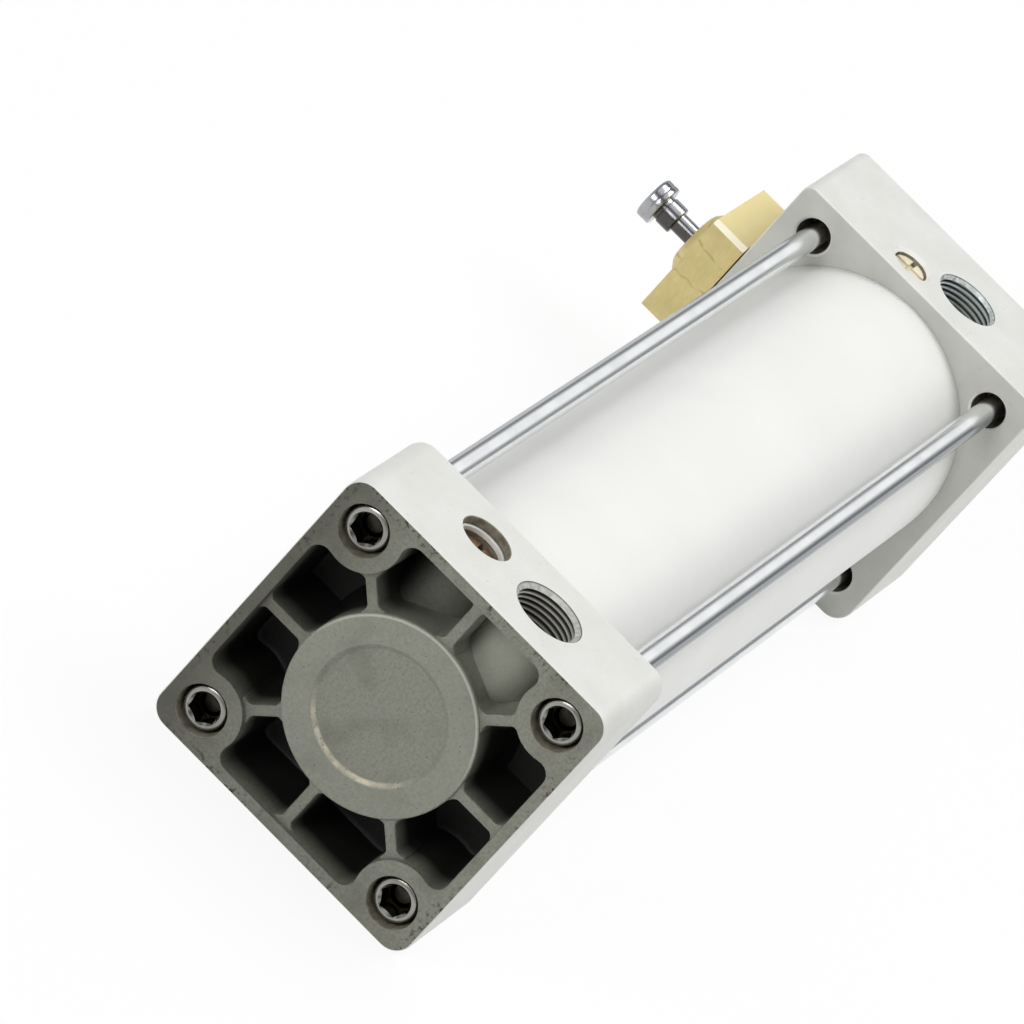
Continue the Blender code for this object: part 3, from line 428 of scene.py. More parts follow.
def ring_of(name, mesh, finish, count=4, radius=0.0, first=0.0, follow=0.0, own_turn=0.0, seed=0):
    """One mesh of copies of a piece round the X axis."""
    pattern = new_piece(name + "_pattern", mesh)
    made = grown(name, RING, {
        "Piece": pattern, "Count": count, "Radius": radius, "First Angle": first,
        "Follow": follow, "Own Turn": own_turn, "Seed": seed, "Finish": finish})
    bpy.data.objects.remove(pattern)
    return made


# %% The thread tree
def thread_tree():
    tree, nodes, given = new_tree("thread_ridge", (
        ("Radius", "Float"), ("Pitch", "Float"), ("Turns", "Float"), ("Height", "Float"),
        ("Inner Width", "Float"), ("Outer Width", "Float"), ("Sides", "Int"),
        ("Finish", "Material")))
    spiral = nodes.add("GeometryNodeCurveSpiral", {}, {
        "Resolution": given["Sides"], "Rotations": given["Turns"],
        "Start Radius": given["Radius"], "End Radius": given["Radius"],
        "Height": given["Pitch"] * given["Turns"], "Reverse": False})
    upright = nodes.add("GeometryNodeSetCurveNormal", {"mode": "Z_UP"}, {"Curve": spiral})
    section = nodes.add("GeometryNodeCurvePrimitiveQuadrilateral", {"mode": "TRAPEZOID"}, {
        "Height": given["Height"], "Bottom Width": given["Inner Width"],
        "Top Width": given["Outer Width"], "Offset": 0.0})
    turned_section = nodes.add("GeometryNodeTransform", {}, {
        "Geometry": section, "Rotation": (0, 0, math.pi / 2)})
    ridge = nodes.add("GeometryNodeCurveToMesh", {}, {
        "Curve": upright, "Profile Curve": turned_section, "Fill Caps": True})
    end_tree(nodes, ridge, given["Finish"])
    return tree


THREAD = thread_tree()


def thread(name, radius, pitch, length, height, finish, axis, start, sides=48, inside=False):
    """A ridge with a flat crest along a right-hand spiral. Its crest points in or out."""
    widths = (0.16 * pitch, 0.86 * pitch) if inside else (0.86 * pitch, 0.16 * pitch)
    mesh = grown(name, THREAD, {
        "Radius": radius, "Pitch": pitch, "Turns": length / pitch, "Height": height,
        "Inner Width": widths[0], "Outer Width": widths[1], "Sides": sides, "Finish": finish})
    turn = {"X": Matrix.Rotation(math.pi / 2, 4, "Y"), "Y": Matrix.Rotation(-math.pi / 2, 4, "X"),
            "Z": Matrix.Identity(4)}[axis]
    mesh.transform(Matrix.Translation(start) @ turn)
    return mesh

# %% [markdown]
# ## Finishes
#
# Each finish reads the place on the object in metres, so a speck keeps its size on every piece. The
# helpers below give noise, a slope between two values, a blend of two colours and a bump. Colours are
# written as they look in the photograph and turned into the values that light works with.

# %% Helpers for finishes
def tint(red, green, blue):
    """A colour as it looks on screen, 0 to 255, as a light value."""
    def linear(value):
        share = value / 255
        return share / 12.92 if share <= 0.04045 else ((share + 0.055) / 1.055) ** 2.4
    return (linear(red), linear(green), linear(blue), 1.0)


def place_of(nodes):
    return nodes.add("ShaderNodeTexCoord", {}, {}, "Object")


def part_of(nodes, vector, letter):
    return nodes.add("ShaderNodeSeparateXYZ", {}, {"Vector": vector}, letter)


def noise(nodes, vector, size, detail=2.0):
    """Soft noise whose spots are about as wide as size."""
    return nodes.add("ShaderNodeTexNoise", {}, {
        "Vector": vector, "Scale": 1 / size, "Detail": detail, "Roughness": 0.55})


def stretched(nodes, vector, x, y, z):
    return nodes.add("ShaderNodeVectorMath", {"operation": "MULTIPLY"},
                     {0: vector, 1: (x, y, z)})


def slope(nodes, value, low, high):
    """0 up to low, 1 from high, and even in between."""
    return nodes.add("ShaderNodeMapRange", {}, {
        "Value": value, "From Min": low, "From Max": high})


def blend(nodes, share, first, second):
    return nodes.add("ShaderNodeMix", {"data_type": "RGBA"}, {0: share, 6: first, 7: second}, 2)


def bump(nodes, height, distance, strength=1.0):
    return nodes.add("ShaderNodeBump", {}, {
        "Height": height, "Distance": distance, "Strength": strength})


def from_axis(nodes, vector, axis, centre):
    """How far a place is from a line along the axis letter through the centre."""
    keep = [0.0 if letter == axis else 1.0 for letter in "XYZ"]
    away = nodes.add("ShaderNodeVectorMath", {"operation": "SUBTRACT"}, {0: vector, 1: centre})
    flat = nodes.add("ShaderNodeVectorMath", {"operation": "MULTIPLY"}, {0: away, 1: keep})
    return nodes.add("ShaderNodeVectorMath", {"operation": "LENGTH"}, {0: flat}, "Value")


def ring_band(nodes, away, inner, outer, fade):
    """1 between two distances from an axis, fading out on both sides."""
    inside = slope(nodes, away, inner - fade, inner)
    return inside * (1 - slope(nodes, away, outer, outer + fade))


def finish(name, paint):
    """A material. paint returns what goes into the surface shader's sockets."""
    material = bpy.data.materials.new(name)
    material.use_nodes = True
    material.node_tree.nodes.clear()
    nodes = Nodes(material.node_tree)
    surface = nodes.add("ShaderNodeBsdfPrincipled", {}, paint(nodes))
    out = nodes.tree.nodes.new("ShaderNodeOutputMaterial")
    nodes.feed(out.inputs["Surface"], surface)
    return material


# %% [markdown]
# The rear face of the cap is left as it came out of the mould. It is olive grey with a fine grain,
# and it has dark and rusty specks where the rim was knocked about. The colour darkens towards the +Y
# side. The pockets get painted shade that darkens with depth, and the lump under the air port is
# painted lighter and less shaded. A painted highlight lies on the lower side of the boss's recess
# wall, and another on the upper part of the boss's rim.

# %% Raw casting
def paint_raw_casting(nodes):
    place = place_of(nodes)
    x, y, z = (part_of(nodes, place, letter) for letter in "XYZ")
    grain = noise(nodes, place, 0.0007, 3.0)
    clouds = noise(nodes, place, 0.009, 3.0)
    colour = blend(nodes, slope(nodes, grain, 0.3, 0.7), tint(113, 114, 103), tint(135, 136, 124))
    colour = blend(nodes, slope(nodes, clouds, 0.5, 0.75) * 0.6, colour, tint(92, 92, 80))
    away = from_axis(nodes, place, "X", (0, 0, 0))
    front = 1 - slope(nodes, x, REAR_FACE + 0.0005, REAR_FACE + 0.002)
    on_boss = 1 - slope(nodes, away, BOSS_RADIUS, BOSS_RADIUS + 0.0004)
    colour = blend(nodes, on_boss * front * 0.35, colour, tint(146, 149, 138))
    # Painted highlight: a cream glint in patches on the lower side of the recess wall.
    ring = ring_band(nodes, away, RECESS_FLOOR_RADIUS + 0.0003, RECESS_RADIUS - 0.0004, 0.0004)
    patchiness = slope(nodes, noise(nodes, place, 0.003), 0.2, 0.62) * slope(nodes, 0 - z, 0.004, 0.013)
    colour = blend(nodes, ring * patchiness * 0.9, colour, tint(214, 207, 184))
    # Painted highlight along the upper part of the boss's rim.
    lip = ring_band(nodes, away, BOSS_RADIUS - 0.0005, BOSS_RADIUS, 0.0002) * front
    colour = blend(nodes, lip * slope(nodes, z, 0.0, 0.012) * 0.7, colour, tint(186, 187, 174))
    edge = nodes.add("ShaderNodeMath", {"operation": "MAXIMUM"}, {0: abs(y), 1: abs(z)})
    # The colour darkens towards the +Y side, except on the boss.
    plus_y_darkening = slope(nodes, y + clouds * 0.02, 0.022, HALF + 0.008) * (1 - on_boss)
    colour = blend(nodes, plus_y_darkening * 0.75, colour, tint(66, 66, 56))
    near_edge = slope(nodes, edge, HALF - 0.0034, HALF - 0.0004)
    specks = slope(nodes, noise(nodes, place, 0.0013, 3.0), 0.55, 0.61)
    top_corner = slope(nodes, y + z, 0.045, 0.072)
    patches = slope(nodes, noise(nodes, place, 0.016) + top_corner * 0.3, 0.44, 0.58)
    rust = slope(nodes, noise(nodes, place, 0.005), 0.56, 0.64)
    stain = blend(nodes, rust, tint(44, 43, 36), tint(92, 52, 36))
    colour = blend(nodes, specks * near_edge * patches, colour, stain)
    pits = slope(nodes, noise(nodes, place, 0.0005, 1.0), 0.68, 0.74)
    colour = blend(nodes, pits * 0.7, colour, tint(58, 56, 50))
    # Painted shade: the pockets darken with depth. Painted light: the lump under the port is lighter
    # and darkens less.
    on_lump = slope(nodes, z, 0.012, 0.02) * (1 - slope(nodes, y, -0.002, 0.018))
    depth = slope(nodes, x, REAR_FACE + 0.0017, REAR_FACE + 0.008)
    colour = blend(nodes, on_lump * depth * 0.6, colour, tint(168, 170, 157))
    colour = blend(nodes, depth * (0.97 - on_lump * 0.92), colour, tint(13, 13, 12))
    height = grain * 0.7 + clouds * 0.6
    return {"Base Color": colour, "Roughness": slope(nodes, grain, 0.0, 1.0) * 0.25 + 0.45,
            "Metallic": 0.15, "Normal": bump(nodes, height, 0.00035, 0.4)}


RAW_CASTING = finish("raw_casting", paint_raw_casting)

# %% [markdown]
# The four sides and the faces towards the barrel are milled and blasted, which leaves a pale matt
# skin. The faces towards the barrel get a darker copy of it as painted shade. The head cap gets the
# same finish all over. Handling marks show as slightly darker clouds.

# %% Pale blasted sides and milled faces
def blasted_finish(name, light, shade):
    def paint(nodes):
        place = place_of(nodes)
        grain = noise(nodes, place, 0.0004, 2.0)
        clouds = noise(nodes, place, 0.012, 3.0)
        colour = blend(nodes, slope(nodes, clouds, 0.35, 0.7), tint(*light), tint(*shade))
        colour = blend(nodes, slope(nodes, grain, 0.3, 0.7) * 0.15, colour, tint(200, 200, 194))
        specks = slope(nodes, noise(nodes, place, 0.0009, 1.0), 0.73, 0.77)
        colour = blend(nodes, specks * 0.25, colour, tint(150, 140, 124))
        return {"Base Color": colour, "Roughness": slope(nodes, grain, 0, 1) * 0.2 + 0.4,
                "Metallic": 0.1, "Normal": bump(nodes, grain, 0.0002, 0.2)}
    return finish(name, paint)


BLASTED = blasted_finish("blasted_side", (227, 228, 223), (219, 220, 214))
# A darker copy of the blasted finish, painted shade on the faces towards the barrel.
SHADED_MILLED = blasted_finish("milled_face", (202, 203, 196), (192, 193, 186))

# %% [markdown]
# Threads and drilled holes are bare metal, painted darker as shade. The grooves of a thread are
# painted dark as shade and its crests stay light, so the finish looks at how far a place is from the
# hole's axis. The colour also darkens deeper in a hole, as painted shade, and the bottom of a hole
# has an oily brown ground.

# %% Threaded and drilled holes
def hole_finish(name, axis, centre, crest, root, mouth, bottom, light, dark, ground):
    """mouth and bottom are places along the axis, counted towards the outside."""
    def paint(nodes):
        place = place_of(nodes)
        away = from_axis(nodes, place, axis, centre)
        along = part_of(nodes, place, axis)
        patchiness = noise(nodes, place, 0.0012, 3.0)
        # Painted shade in the thread's grooves, while the crests keep the light colour.
        groove = slope(nodes, away + patchiness * 0.0001, crest + 0.0001, root - 0.0003)
        chamfer = slope(nodes, along, mouth - 0.0015, mouth - 0.0012)
        rim_line = slope(nodes, along, mouth - 0.0003, mouth - 0.0001)
        colour = blend(nodes, groove, tint(*light), tint(*dark))
        worn_light = blend(nodes, slope(nodes, patchiness, 0.4, 0.7), tint(*light), tint(168, 169, 165))
        colour = blend(nodes, chamfer, colour, worn_light)
        colour = blend(nodes, rim_line * 0.8, colour, tint(*dark))
        # Painted shade: the colour darkens deeper in the hole.
        deep = 1 - slope(nodes, along, bottom, mouth - 0.004)
        colour = blend(nodes, deep * 0.5, colour, tint(*dark))
        colour = blend(nodes, slope(nodes, deep, 0.45, 1.0) * 0.5, colour, tint(*ground))
        floor = (1 - slope(nodes, along, bottom - 0.0002, bottom + 0.0012)) * patchiness * 1.5
        colour = blend(nodes, floor, colour, tint(*ground))
        return {"Base Color": colour, "Roughness": patchiness * 0.25 + 0.3, "Metallic": 0.25,
                "Normal": bump(nodes, patchiness, 0.0001, 0.3)}
    return finish(name, paint)


PORT_DEPTH = 0.014
PORT_CHAMFER = 0.0011
PORT_PITCH = 0.001337
PORT_CREST = 0.007475
PORT_ROOT = 0.00833
REAR_PORT_MOUTH = 0.0086
HEAD_PORT_MOUTH = 0.0081
REAR_PORT = (0.015, -0.0098, 0)
HEAD_PORT = (0.2798, -0.0063, 0)
REAR_PORT_METAL = hole_finish("rear_port_thread", "Z", REAR_PORT, PORT_CREST, PORT_ROOT, HALF,
                              HALF - PORT_DEPTH, (212, 212, 206), (64, 62, 55), (112, 66, 48))
HEAD_PORT_METAL = hole_finish("head_port_thread", "Z", HEAD_PORT, PORT_CREST, PORT_ROOT, HALF,
                              HALF - PORT_DEPTH, (236, 244, 243), (58, 70, 68), (84, 78, 70))


# Painted shade: a darker brown-grey for the walls inside drilled holes.
def paint_shaded_bore(nodes):
    place = place_of(nodes)
    film = noise(nodes, place, 0.002, 3.0)
    colour = blend(nodes, slope(nodes, film, 0.35, 0.65), tint(124, 118, 104), tint(162, 156, 141))
    return {"Base Color": colour, "Roughness": film * 0.3 + 0.3, "Metallic": 0.3,
            "Normal": bump(nodes, film, 0.0001, 0.3)}


SHADED_BORE = finish("oiled_bore", paint_shaded_bore)

# %% [markdown]
# The other metals are plated, ground or turned. One helper makes them all: a main colour that drifts
# a little towards a second one, a roughness that drifts as well, and fine tool marks that run round
# the axis the piece was turned on, or along it where it was drawn. The tie rods have a dark line
# painted on the side away from the barrel, stronger on the upper rods, as painted shade in place of a
# dark reflection, and the valve's needle is painted darker on the underside of its shaft and collar,
# as painted shade.

# %% Plated, ground and turned metals
def metal_finish(name, first, second, roughness, metallic=1.0, marks=(1, 1, 1), mark_size=0.0006,
                 mark_height=0.000006, drift=0.012):
    def paint(nodes):
        place = place_of(nodes)
        lines = noise(nodes, stretched(nodes, place, *marks), mark_size, 2.0)
        clouds = noise(nodes, place, drift, 3.0)
        colour = blend(nodes, slope(nodes, clouds * 0.9 + lines * 0.1, 0.35, 0.65),
                       tint(*first), tint(*second))
        return {"Base Color": colour, "Metallic": metallic,
                "Roughness": slope(nodes, lines, 0.2, 0.8) * 0.06 + roughness,
                "Normal": bump(nodes, lines, mark_height, 0.4)}
    return finish(name, paint)


ZINC = metal_finish("zinc_plate", (214, 218, 220), (198, 203, 206), 0.2)
NUT_STEEL = metal_finish("nut_steel", (158, 158, 152), (132, 131, 124), 0.22)
THREAD_STEEL = metal_finish("thread_steel", (190, 190, 187), (168, 168, 164), 0.26)
# Painted shade: a dark steel for nut sockets and for rod ends that sit in holes.
SHADED_SOCKET = metal_finish("oily_socket", (64, 60, 53), (40, 37, 32), 0.24, drift=0.003)
CHROME = metal_finish("hard_chrome", (226, 228, 230), (218, 220, 223), 0.05, marks=(1, 0.1, 0.1),
                      mark_size=0.0002, mark_height=0.000004)
BRONZE = metal_finish("bush_bronze", (190, 146, 92), (168, 124, 74), 0.3)
TURNED = metal_finish("turned_aluminium", (212, 213, 214), (196, 197, 199), 0.28,
                      marks=(1, 0.05, 0.05), mark_size=0.0003)
RING_STEEL = metal_finish("ring_steel", (248, 247, 243), (238, 236, 230), 0.35, metallic=0.1)
# A darker brown copy of the brass, painted shade for the rear screw deep in its hole.
SHADED_SCREW_BRASS = metal_finish("screw_brass", (150, 118, 80), (104, 80, 56), 0.4, metallic=0.3,
                           drift=0.004)
PALE_BRASS = metal_finish("pale_screw_brass", (236, 228, 204), (216, 206, 176), 0.4, metallic=0.2,
                          drift=0.004)


def paint_rod_zinc(nodes):
    place = place_of(nodes)
    clouds = noise(nodes, place, 0.01, 2.0)
    colour = blend(nodes, slope(nodes, clouds, 0.35, 0.65), tint(250, 252, 252), tint(242, 244, 245))
    # Painted shade: a dark line on each rod's side away from the barrel, stronger on the upper rods,
    # in place of a dark reflection.
    outward = abs(part_of(nodes, place, "Y")) - TIE
    upper = slope(nodes, part_of(nodes, place, "Z"), -0.01, 0.01) * 0.7 + 0.2
    dark_edge_shade = slope(nodes, outward, 0.0006, 0.0024)
    colour = blend(nodes, dark_edge_shade * upper, colour, tint(94, 102, 106))
    return {"Base Color": colour, "Metallic": 1.0, "Roughness": clouds * 0.1 + 0.14}


ROD_ZINC = finish("rod_zinc", paint_rod_zinc)


def paint_needle(nodes):
    place = place_of(nodes)
    clouds = noise(nodes, place, 0.003, 2.0)
    colour = blend(nodes, clouds, tint(184, 187, 192), tint(150, 149, 148))
    off = nodes.add("ShaderNodeVectorMath", {"operation": "SUBTRACT"},
                    {0: place, 1: VALVE_AXIS})
    # Painted shade: the shaft and collar darken on their underside.
    under = 0 - (part_of(nodes, off, "X") * 0.53 + part_of(nodes, off, "Z") * 0.85)
    below_knob = 1 - slope(nodes, part_of(nodes, place, "Y"), KNOB_FOOT - 0.0001, KNOB_FOOT)
    underside_shade = slope(nodes, under + clouds * 0.001, -0.0004, 0.0014) * below_knob
    colour = blend(nodes, underside_shade * 0.85, colour, tint(52, 45, 40))
    return {"Base Color": colour, "Metallic": 1.0, "Roughness": clouds * 0.1 + 0.16}


VALVE_X = middle("valve_body").x
VALVE_AXIS = (VALVE_X, 0, 0)
KNOB_LENGTH = 0.0039
KNOB_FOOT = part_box("valve_needle")[1].y - KNOB_LENGTH
NEEDLE_STEEL = finish("needle_steel", paint_needle)


def paint_tube(nodes):
    place = place_of(nodes)
    clouds = noise(nodes, place, 0.03, 2.0)
    colour = blend(nodes, slope(nodes, clouds, 0.3, 0.7), tint(240, 240, 237), tint(236, 236, 233))
    # Painted shade: the tube darkens next to each tie rod, in place of the rods' shadow and
    # reflection.
    off_rod = from_axis(nodes, nodes.add("ShaderNodeVectorMath", {"operation": "ABSOLUTE"},
                                         {0: place}), "X", (0, TIE, TIE))
    near_rod = 1 - slope(nodes, off_rod, 0.004, 0.017)
    colour = blend(nodes, near_rod * near_rod * 0.75, colour, tint(172, 174, 171))
    x = part_of(nodes, place, "X")
    specks = slope(nodes, noise(nodes, place, 0.001, 2.0), 0.66, 0.7)
    far_end = slope(nodes, x, HEAD_INNER - 0.0045, HEAD_INNER)
    colour = blend(nodes, far_end * specks * 0.8, colour, tint(120, 92, 66))
    shade = slope(nodes, x, HEAD_INNER - 0.012, HEAD_INNER)
    colour = blend(nodes, shade * shade * 0.35, colour, tint(190, 191, 187))
    return {"Base Color": colour, "Metallic": 0.0, "Roughness": clouds * 0.1 + 0.4}


TUBE = finish("anodised_tube", paint_tube)


def paint_rubber(nodes):
    grain = noise(nodes, place_of(nodes), 0.0005, 2.0)
    colour = blend(nodes, grain, tint(24, 24, 25), tint(40, 40, 41))
    return {"Base Color": colour, "Roughness": grain * 0.3 + 0.4,
            "Normal": bump(nodes, grain, 0.00005, 0.4)}


RUBBER = finish("black_rubber", paint_rubber)


def paint_wear_plastic(nodes):
    grain = noise(nodes, place_of(nodes), 0.0008, 2.0)
    colour = blend(nodes, grain, tint(54, 62, 60), tint(78, 88, 84))
    return {"Base Color": colour, "Roughness": grain * 0.3 + 0.35}


WEAR_PLASTIC = finish("wear_plastic", paint_wear_plastic)
print("finishes:", len(bpy.data.materials))

# %% [markdown]
# ## The rear cap
#
# The cap is one casting. Its back is hollowed between a rim, a round centre boss, four bosses for the
# tie nuts and eight ribs, to save metal. The outline of the hollow is an S-curve round each corner
# boss, and the same function draws it at every depth with its draft and its rounded lip.

# %% Sizes of the rear cap
CORNER_RADIUS = 0.005
RIM_WIDTH = 0.003
CORNER_BOSS_RADIUS = 0.0094
POCKET_CORNER_RADIUS = 0.003
POCKET_FLOOR = REAR_FACE + 0.022
LIP = 0.0004
DRAFT = 0.0006
FLOOR_ROUNDING = 0.0014
BOSS_FACE = REAR_FACE + 0.0005
RECESS_DEPTH = 0.001
RIB_WIDTH = 0.0027
RIB_TOP = REAR_FACE + 0.0015
RIB_ROOT = 0.0016


def square_outline(inset):
    """The section of a cap, a square with rounded corners, drawn in by the inset."""
    half, radius = HALF - inset, CORNER_RADIUS - inset
    return four_times(arc((half - radius, half - radius), radius, 0, math.pi / 2, 10))


def pocket_outline(inset):
    """The inside of the rim, which runs round the corner bosses."""
    wall = HALF - RIM_WIDTH - inset
    boss, hollow = CORNER_BOSS_RADIUS + inset, POCKET_CORNER_RADIUS - inset
    first_y = wall - hollow
    first_z = TIE - math.sqrt((boss + hollow) ** 2 - (first_y - TIE) ** 2)
    meet = math.atan2(TIE - first_z, TIE - first_y)
    corner = arc((first_y, first_z), hollow, 0, meet, 6)
    corner += arc((TIE, TIE), boss, meet + math.pi, math.pi * 1.5 - meet, 14)[1:-1]
    corner += arc((first_z, first_y), hollow, math.pi / 2 - meet, math.pi / 2, 6)
    return four_times(corner)


def rounded_ends(start, end, radius, steps=3):
    """Levels of a stacked shape whose two ends are rounded off."""
    angles = [step * math.pi / 2 / steps for step in range(steps, -1, -1)]
    bends = [(radius * (1 - math.sin(a)), radius * (1 - math.cos(a))) for a in angles]
    last = [(end - along, inset) for along, inset in reversed(bends)]
    return [(start + along, inset) for along, inset in bends] + last


print("pocket outline has", len(pocket_outline(0)), "points")

# %% [markdown]
# The casting starts as a rounded square block. The hollow is cut from it, and the centre boss, the
# ribs and the lumps round the two side holes are then joined on, as they would fill a mould. Every rib
# widens where it meets the boss and the wall, which is how a pattern maker draws it.

# %% Block, hollow, boss and ribs
pocket = stacked("pocket", pocket_outline, [
    (REAR_FACE - OVERRUN, -LIP), (REAR_FACE, -LIP), (REAR_FACE + LIP * 0.3, -LIP * 0.3),
    (REAR_FACE + LIP, 0), (POCKET_FLOOR - FLOOR_ROUNDING, DRAFT),
    (POCKET_FLOOR - FLOOR_ROUNDING * 0.3, DRAFT + FLOOR_ROUNDING * 0.3),
    (POCKET_FLOOR, DRAFT + FLOOR_ROUNDING)])
rear_cap = new_piece("rear_cap_casting", stacked(
    "rear_cap_casting", square_outline, rounded_ends(REAR_FACE, REAR_INNER, 0.0005)))
combine(rear_cap, [pocket], "DIFFERENCE")

boss = turned("centre_boss", soften([
    (POCKET_FLOOR + OVERRUN, 0), (POCKET_FLOOR + OVERRUN, BOSS_RADIUS + 0.003),
    (POCKET_FLOOR - 0.0006, BOSS_RADIUS + 0.002, 0.0012),
    (POCKET_FLOOR - 0.004, BOSS_RADIUS + 0.0004, 0.002), (BOSS_FACE, BOSS_RADIUS, 0.0006),
    (BOSS_FACE, RECESS_RADIUS, 0.0002), (BOSS_FACE + RECESS_DEPTH, RECESS_FLOOR_RADIUS, 0.0003),
    (BOSS_FACE + RECESS_DEPTH, 0)]))


def rib(name, tip):
    """A rib along Y from the centre boss to the wall at tip, wider at both ends."""
    def outline(inset):
        half = RIB_WIDTH / 2 - inset
        shares = [step / 4 for step in range(5)]
        reach = [(BOSS_RADIUS - 0.002, half + RIB_ROOT)]
        reach += [(BOSS_RADIUS + s * RIB_ROOT, half + RIB_ROOT * (1 - s) ** 2) for s in shares]
        reach += [(tip - (1 - s) * RIB_ROOT, half + RIB_ROOT * s ** 2) for s in shares]
        reach.append((tip + 0.0014, half + RIB_ROOT))
        return reach + [(y, -z) for y, z in reversed(reach)]
    levels = [(RIB_TOP, 0.0006), (RIB_TOP + 0.0002, 0.0002), (RIB_TOP + 0.0006, 0),
              (POCKET_FLOOR + OVERRUN, -0.0005)]
    return stacked(name, outline, levels)


wall_ribs = ring_of("wall_ribs", rib("wall_rib", HALF - RIM_WIDTH), RAW_CASTING, follow=1.0)
corner_ribs = ring_of("corner_ribs", rib("corner_rib", TIE * math.sqrt(2) - CORNER_BOSS_RADIUS),
                      RAW_CASTING, first=math.pi / 4, follow=1.0)


def lump(name, centre, radius, foot):
    """The casting under a side hole: round towards the open back, straight to the floor."""
    behind = POCKET_FLOOR - centre[0] + OVERRUN
    def outline(inset):
        wide = radius - inset
        return arc((0, 0), wide, 0, math.pi, 20) + [(-wide, -behind), (wide, -behind)]
    wall = HALF - RIM_WIDTH
    mesh = stacked(name, outline, [(foot, -0.001), (foot + 0.004, 0), (wall - 0.0016, 0),
                                   (wall - 0.0005, -0.0005), (wall, -0.0013),
                                   (wall + 0.0012, -0.0013)])
    mesh.transform(Matrix.Translation(centre) @ Matrix.Rotation(-math.pi / 2, 4, "Y"))
    return mesh


REAR_SCREW = middle("rear_cushion_screw")
REAR_SCREW.z = 0
lumps = [lump("port_lump", REAR_PORT, 0.0097, 0.0125),
         lump("screw_lump", tuple(REAR_SCREW), 0.0094, 0.0125)]
combine(rear_cap, [boss, wall_ribs, corner_ribs, *lumps], "UNION")
print("rear cap so far:", len(rear_cap.data.polygons), "faces")

# %% [markdown]
# Then come the cuts that a machine shop makes: the counterbores for the nuts, the wide holes for the
# rods, the tapped air port, the stepped hole of the cushion screw, and on the barrel side the seat of
# the tube and the cushion bore. The port is bored to the bottom of its thread, and the thread's ridge
# is laid in afterwards.

# %% Shapes of the drilled holes
ROD_CLEARANCE = 0.00305
NUT_HOLE = 0.0058
WIDE_HOLE = 0.0043
WIDE_CHAMFER = 0.0005
CUSHION_BORE = 0.0125
NUT_HOLE_DEPTH = 0.0116
WIDE_HOLE_DEPTH = 0.012


def tie_holes(name, face, inner, outward):
    """Tools for the four tie-rod holes of a cap. outward is -1 or 1 along X."""
    nut_seat = face - outward * NUT_HOLE_DEPTH
    wide = inner + outward * WIDE_HOLE_DEPTH
    outline = [
        (face + outward * OVERRUN, 0), (face + outward * OVERRUN, NUT_HOLE + 0.0002),
        (face, NUT_HOLE + 0.0002), (face - outward * 0.0003, NUT_HOLE), (nut_seat, NUT_HOLE),
        (nut_seat, ROD_CLEARANCE), (wide, ROD_CLEARANCE), (wide, WIDE_HOLE),
        (inner + outward * WIDE_CHAMFER, WIDE_HOLE), (inner, WIDE_HOLE + WIDE_CHAMFER),
        (inner - outward * 0.006, WIDE_HOLE + WIDE_CHAMFER), (inner - outward * 0.006, 0)]
    return [turned(f"{name}_{y}_{z}", outline, SMALL_ROUND, "X", (0, y * TIE, z * TIE))
            for y in (-1, 1) for z in (-1, 1)]


def port_cut(name, centre, mouth, passage):
    """The port's chamfer, the hole to the thread's root, and the passage to the middle."""
    floor = HALF - PORT_DEPTH
    first = HALF - PORT_CHAMFER
    outline = [
        (PASSAGE_END, 0), (PASSAGE_END, passage), (floor, passage),
        (floor, PORT_CREST - 0.0006), (floor + 0.0006, PORT_CREST), (floor + 0.0015, PORT_CREST),
        (floor + 0.0019, PORT_ROOT), (first - 0.0003, PORT_ROOT), (first, PORT_CREST),
        (HALF, mouth), (HALF + 0.0002, mouth), (HALF + OVERRUN, mouth), (HALF + OVERRUN, 0)]
    return turned(name, outline, 72, "Z", (centre[0], centre[1], 0))


def port_thread(name, centre, material):
    foot = HALF - PORT_DEPTH + 0.0024
    length = HALF - 0.0018 - foot
    depth = PORT_ROOT - PORT_CREST + 0.00006
    return thread(name, PORT_CREST + depth / 2, PORT_PITCH, length, depth, material, "Z",
                  (centre[0], centre[1], foot), 56, inside=True)


def seat(name, inner, outward):
    """The groove round the spigot that the barrel sits in. outward is -1 or 1 along X."""
    bottom, mouth = inner + outward * SEAT_DEPTH, inner - outward * OVERRUN
    return turned(name, [(bottom, BORE_RADIUS - GAP), (bottom, TUBE_RADIUS + SEAT_GAP),
                         (mouth, TUBE_RADIUS + SEAT_GAP), (mouth, BORE_RADIUS - GAP)])


def spigot(name, inner, end, outward):
    """The short collar that centres a cap in the barrel."""
    root = inner + outward * SPIGOT_LENGTH
    return turned(name, soften([(root, 0), (root, BORE_RADIUS - GAP),
                                (end, BORE_RADIUS - GAP, 0.0005), (end, 0)]))


def screw_hole(name, centre, steps, radius, chamfer):
    """The stepped hole of a cushion screw. A step is its radius and the place where it ends."""
    foot = PASSAGE_END
    outline = [(foot, 0)]
    for wide, end in [*steps, (radius, HALF - chamfer)]:
        outline += [(foot, wide), (end, wide)]
        foot = end
    mouth = radius + chamfer
    outline += [(HALF, mouth), (HALF + OVERRUN, mouth), (HALF + OVERRUN, 0)]
    return turned(name, outline, SMALL_ROUND, "Z", tuple(centre))


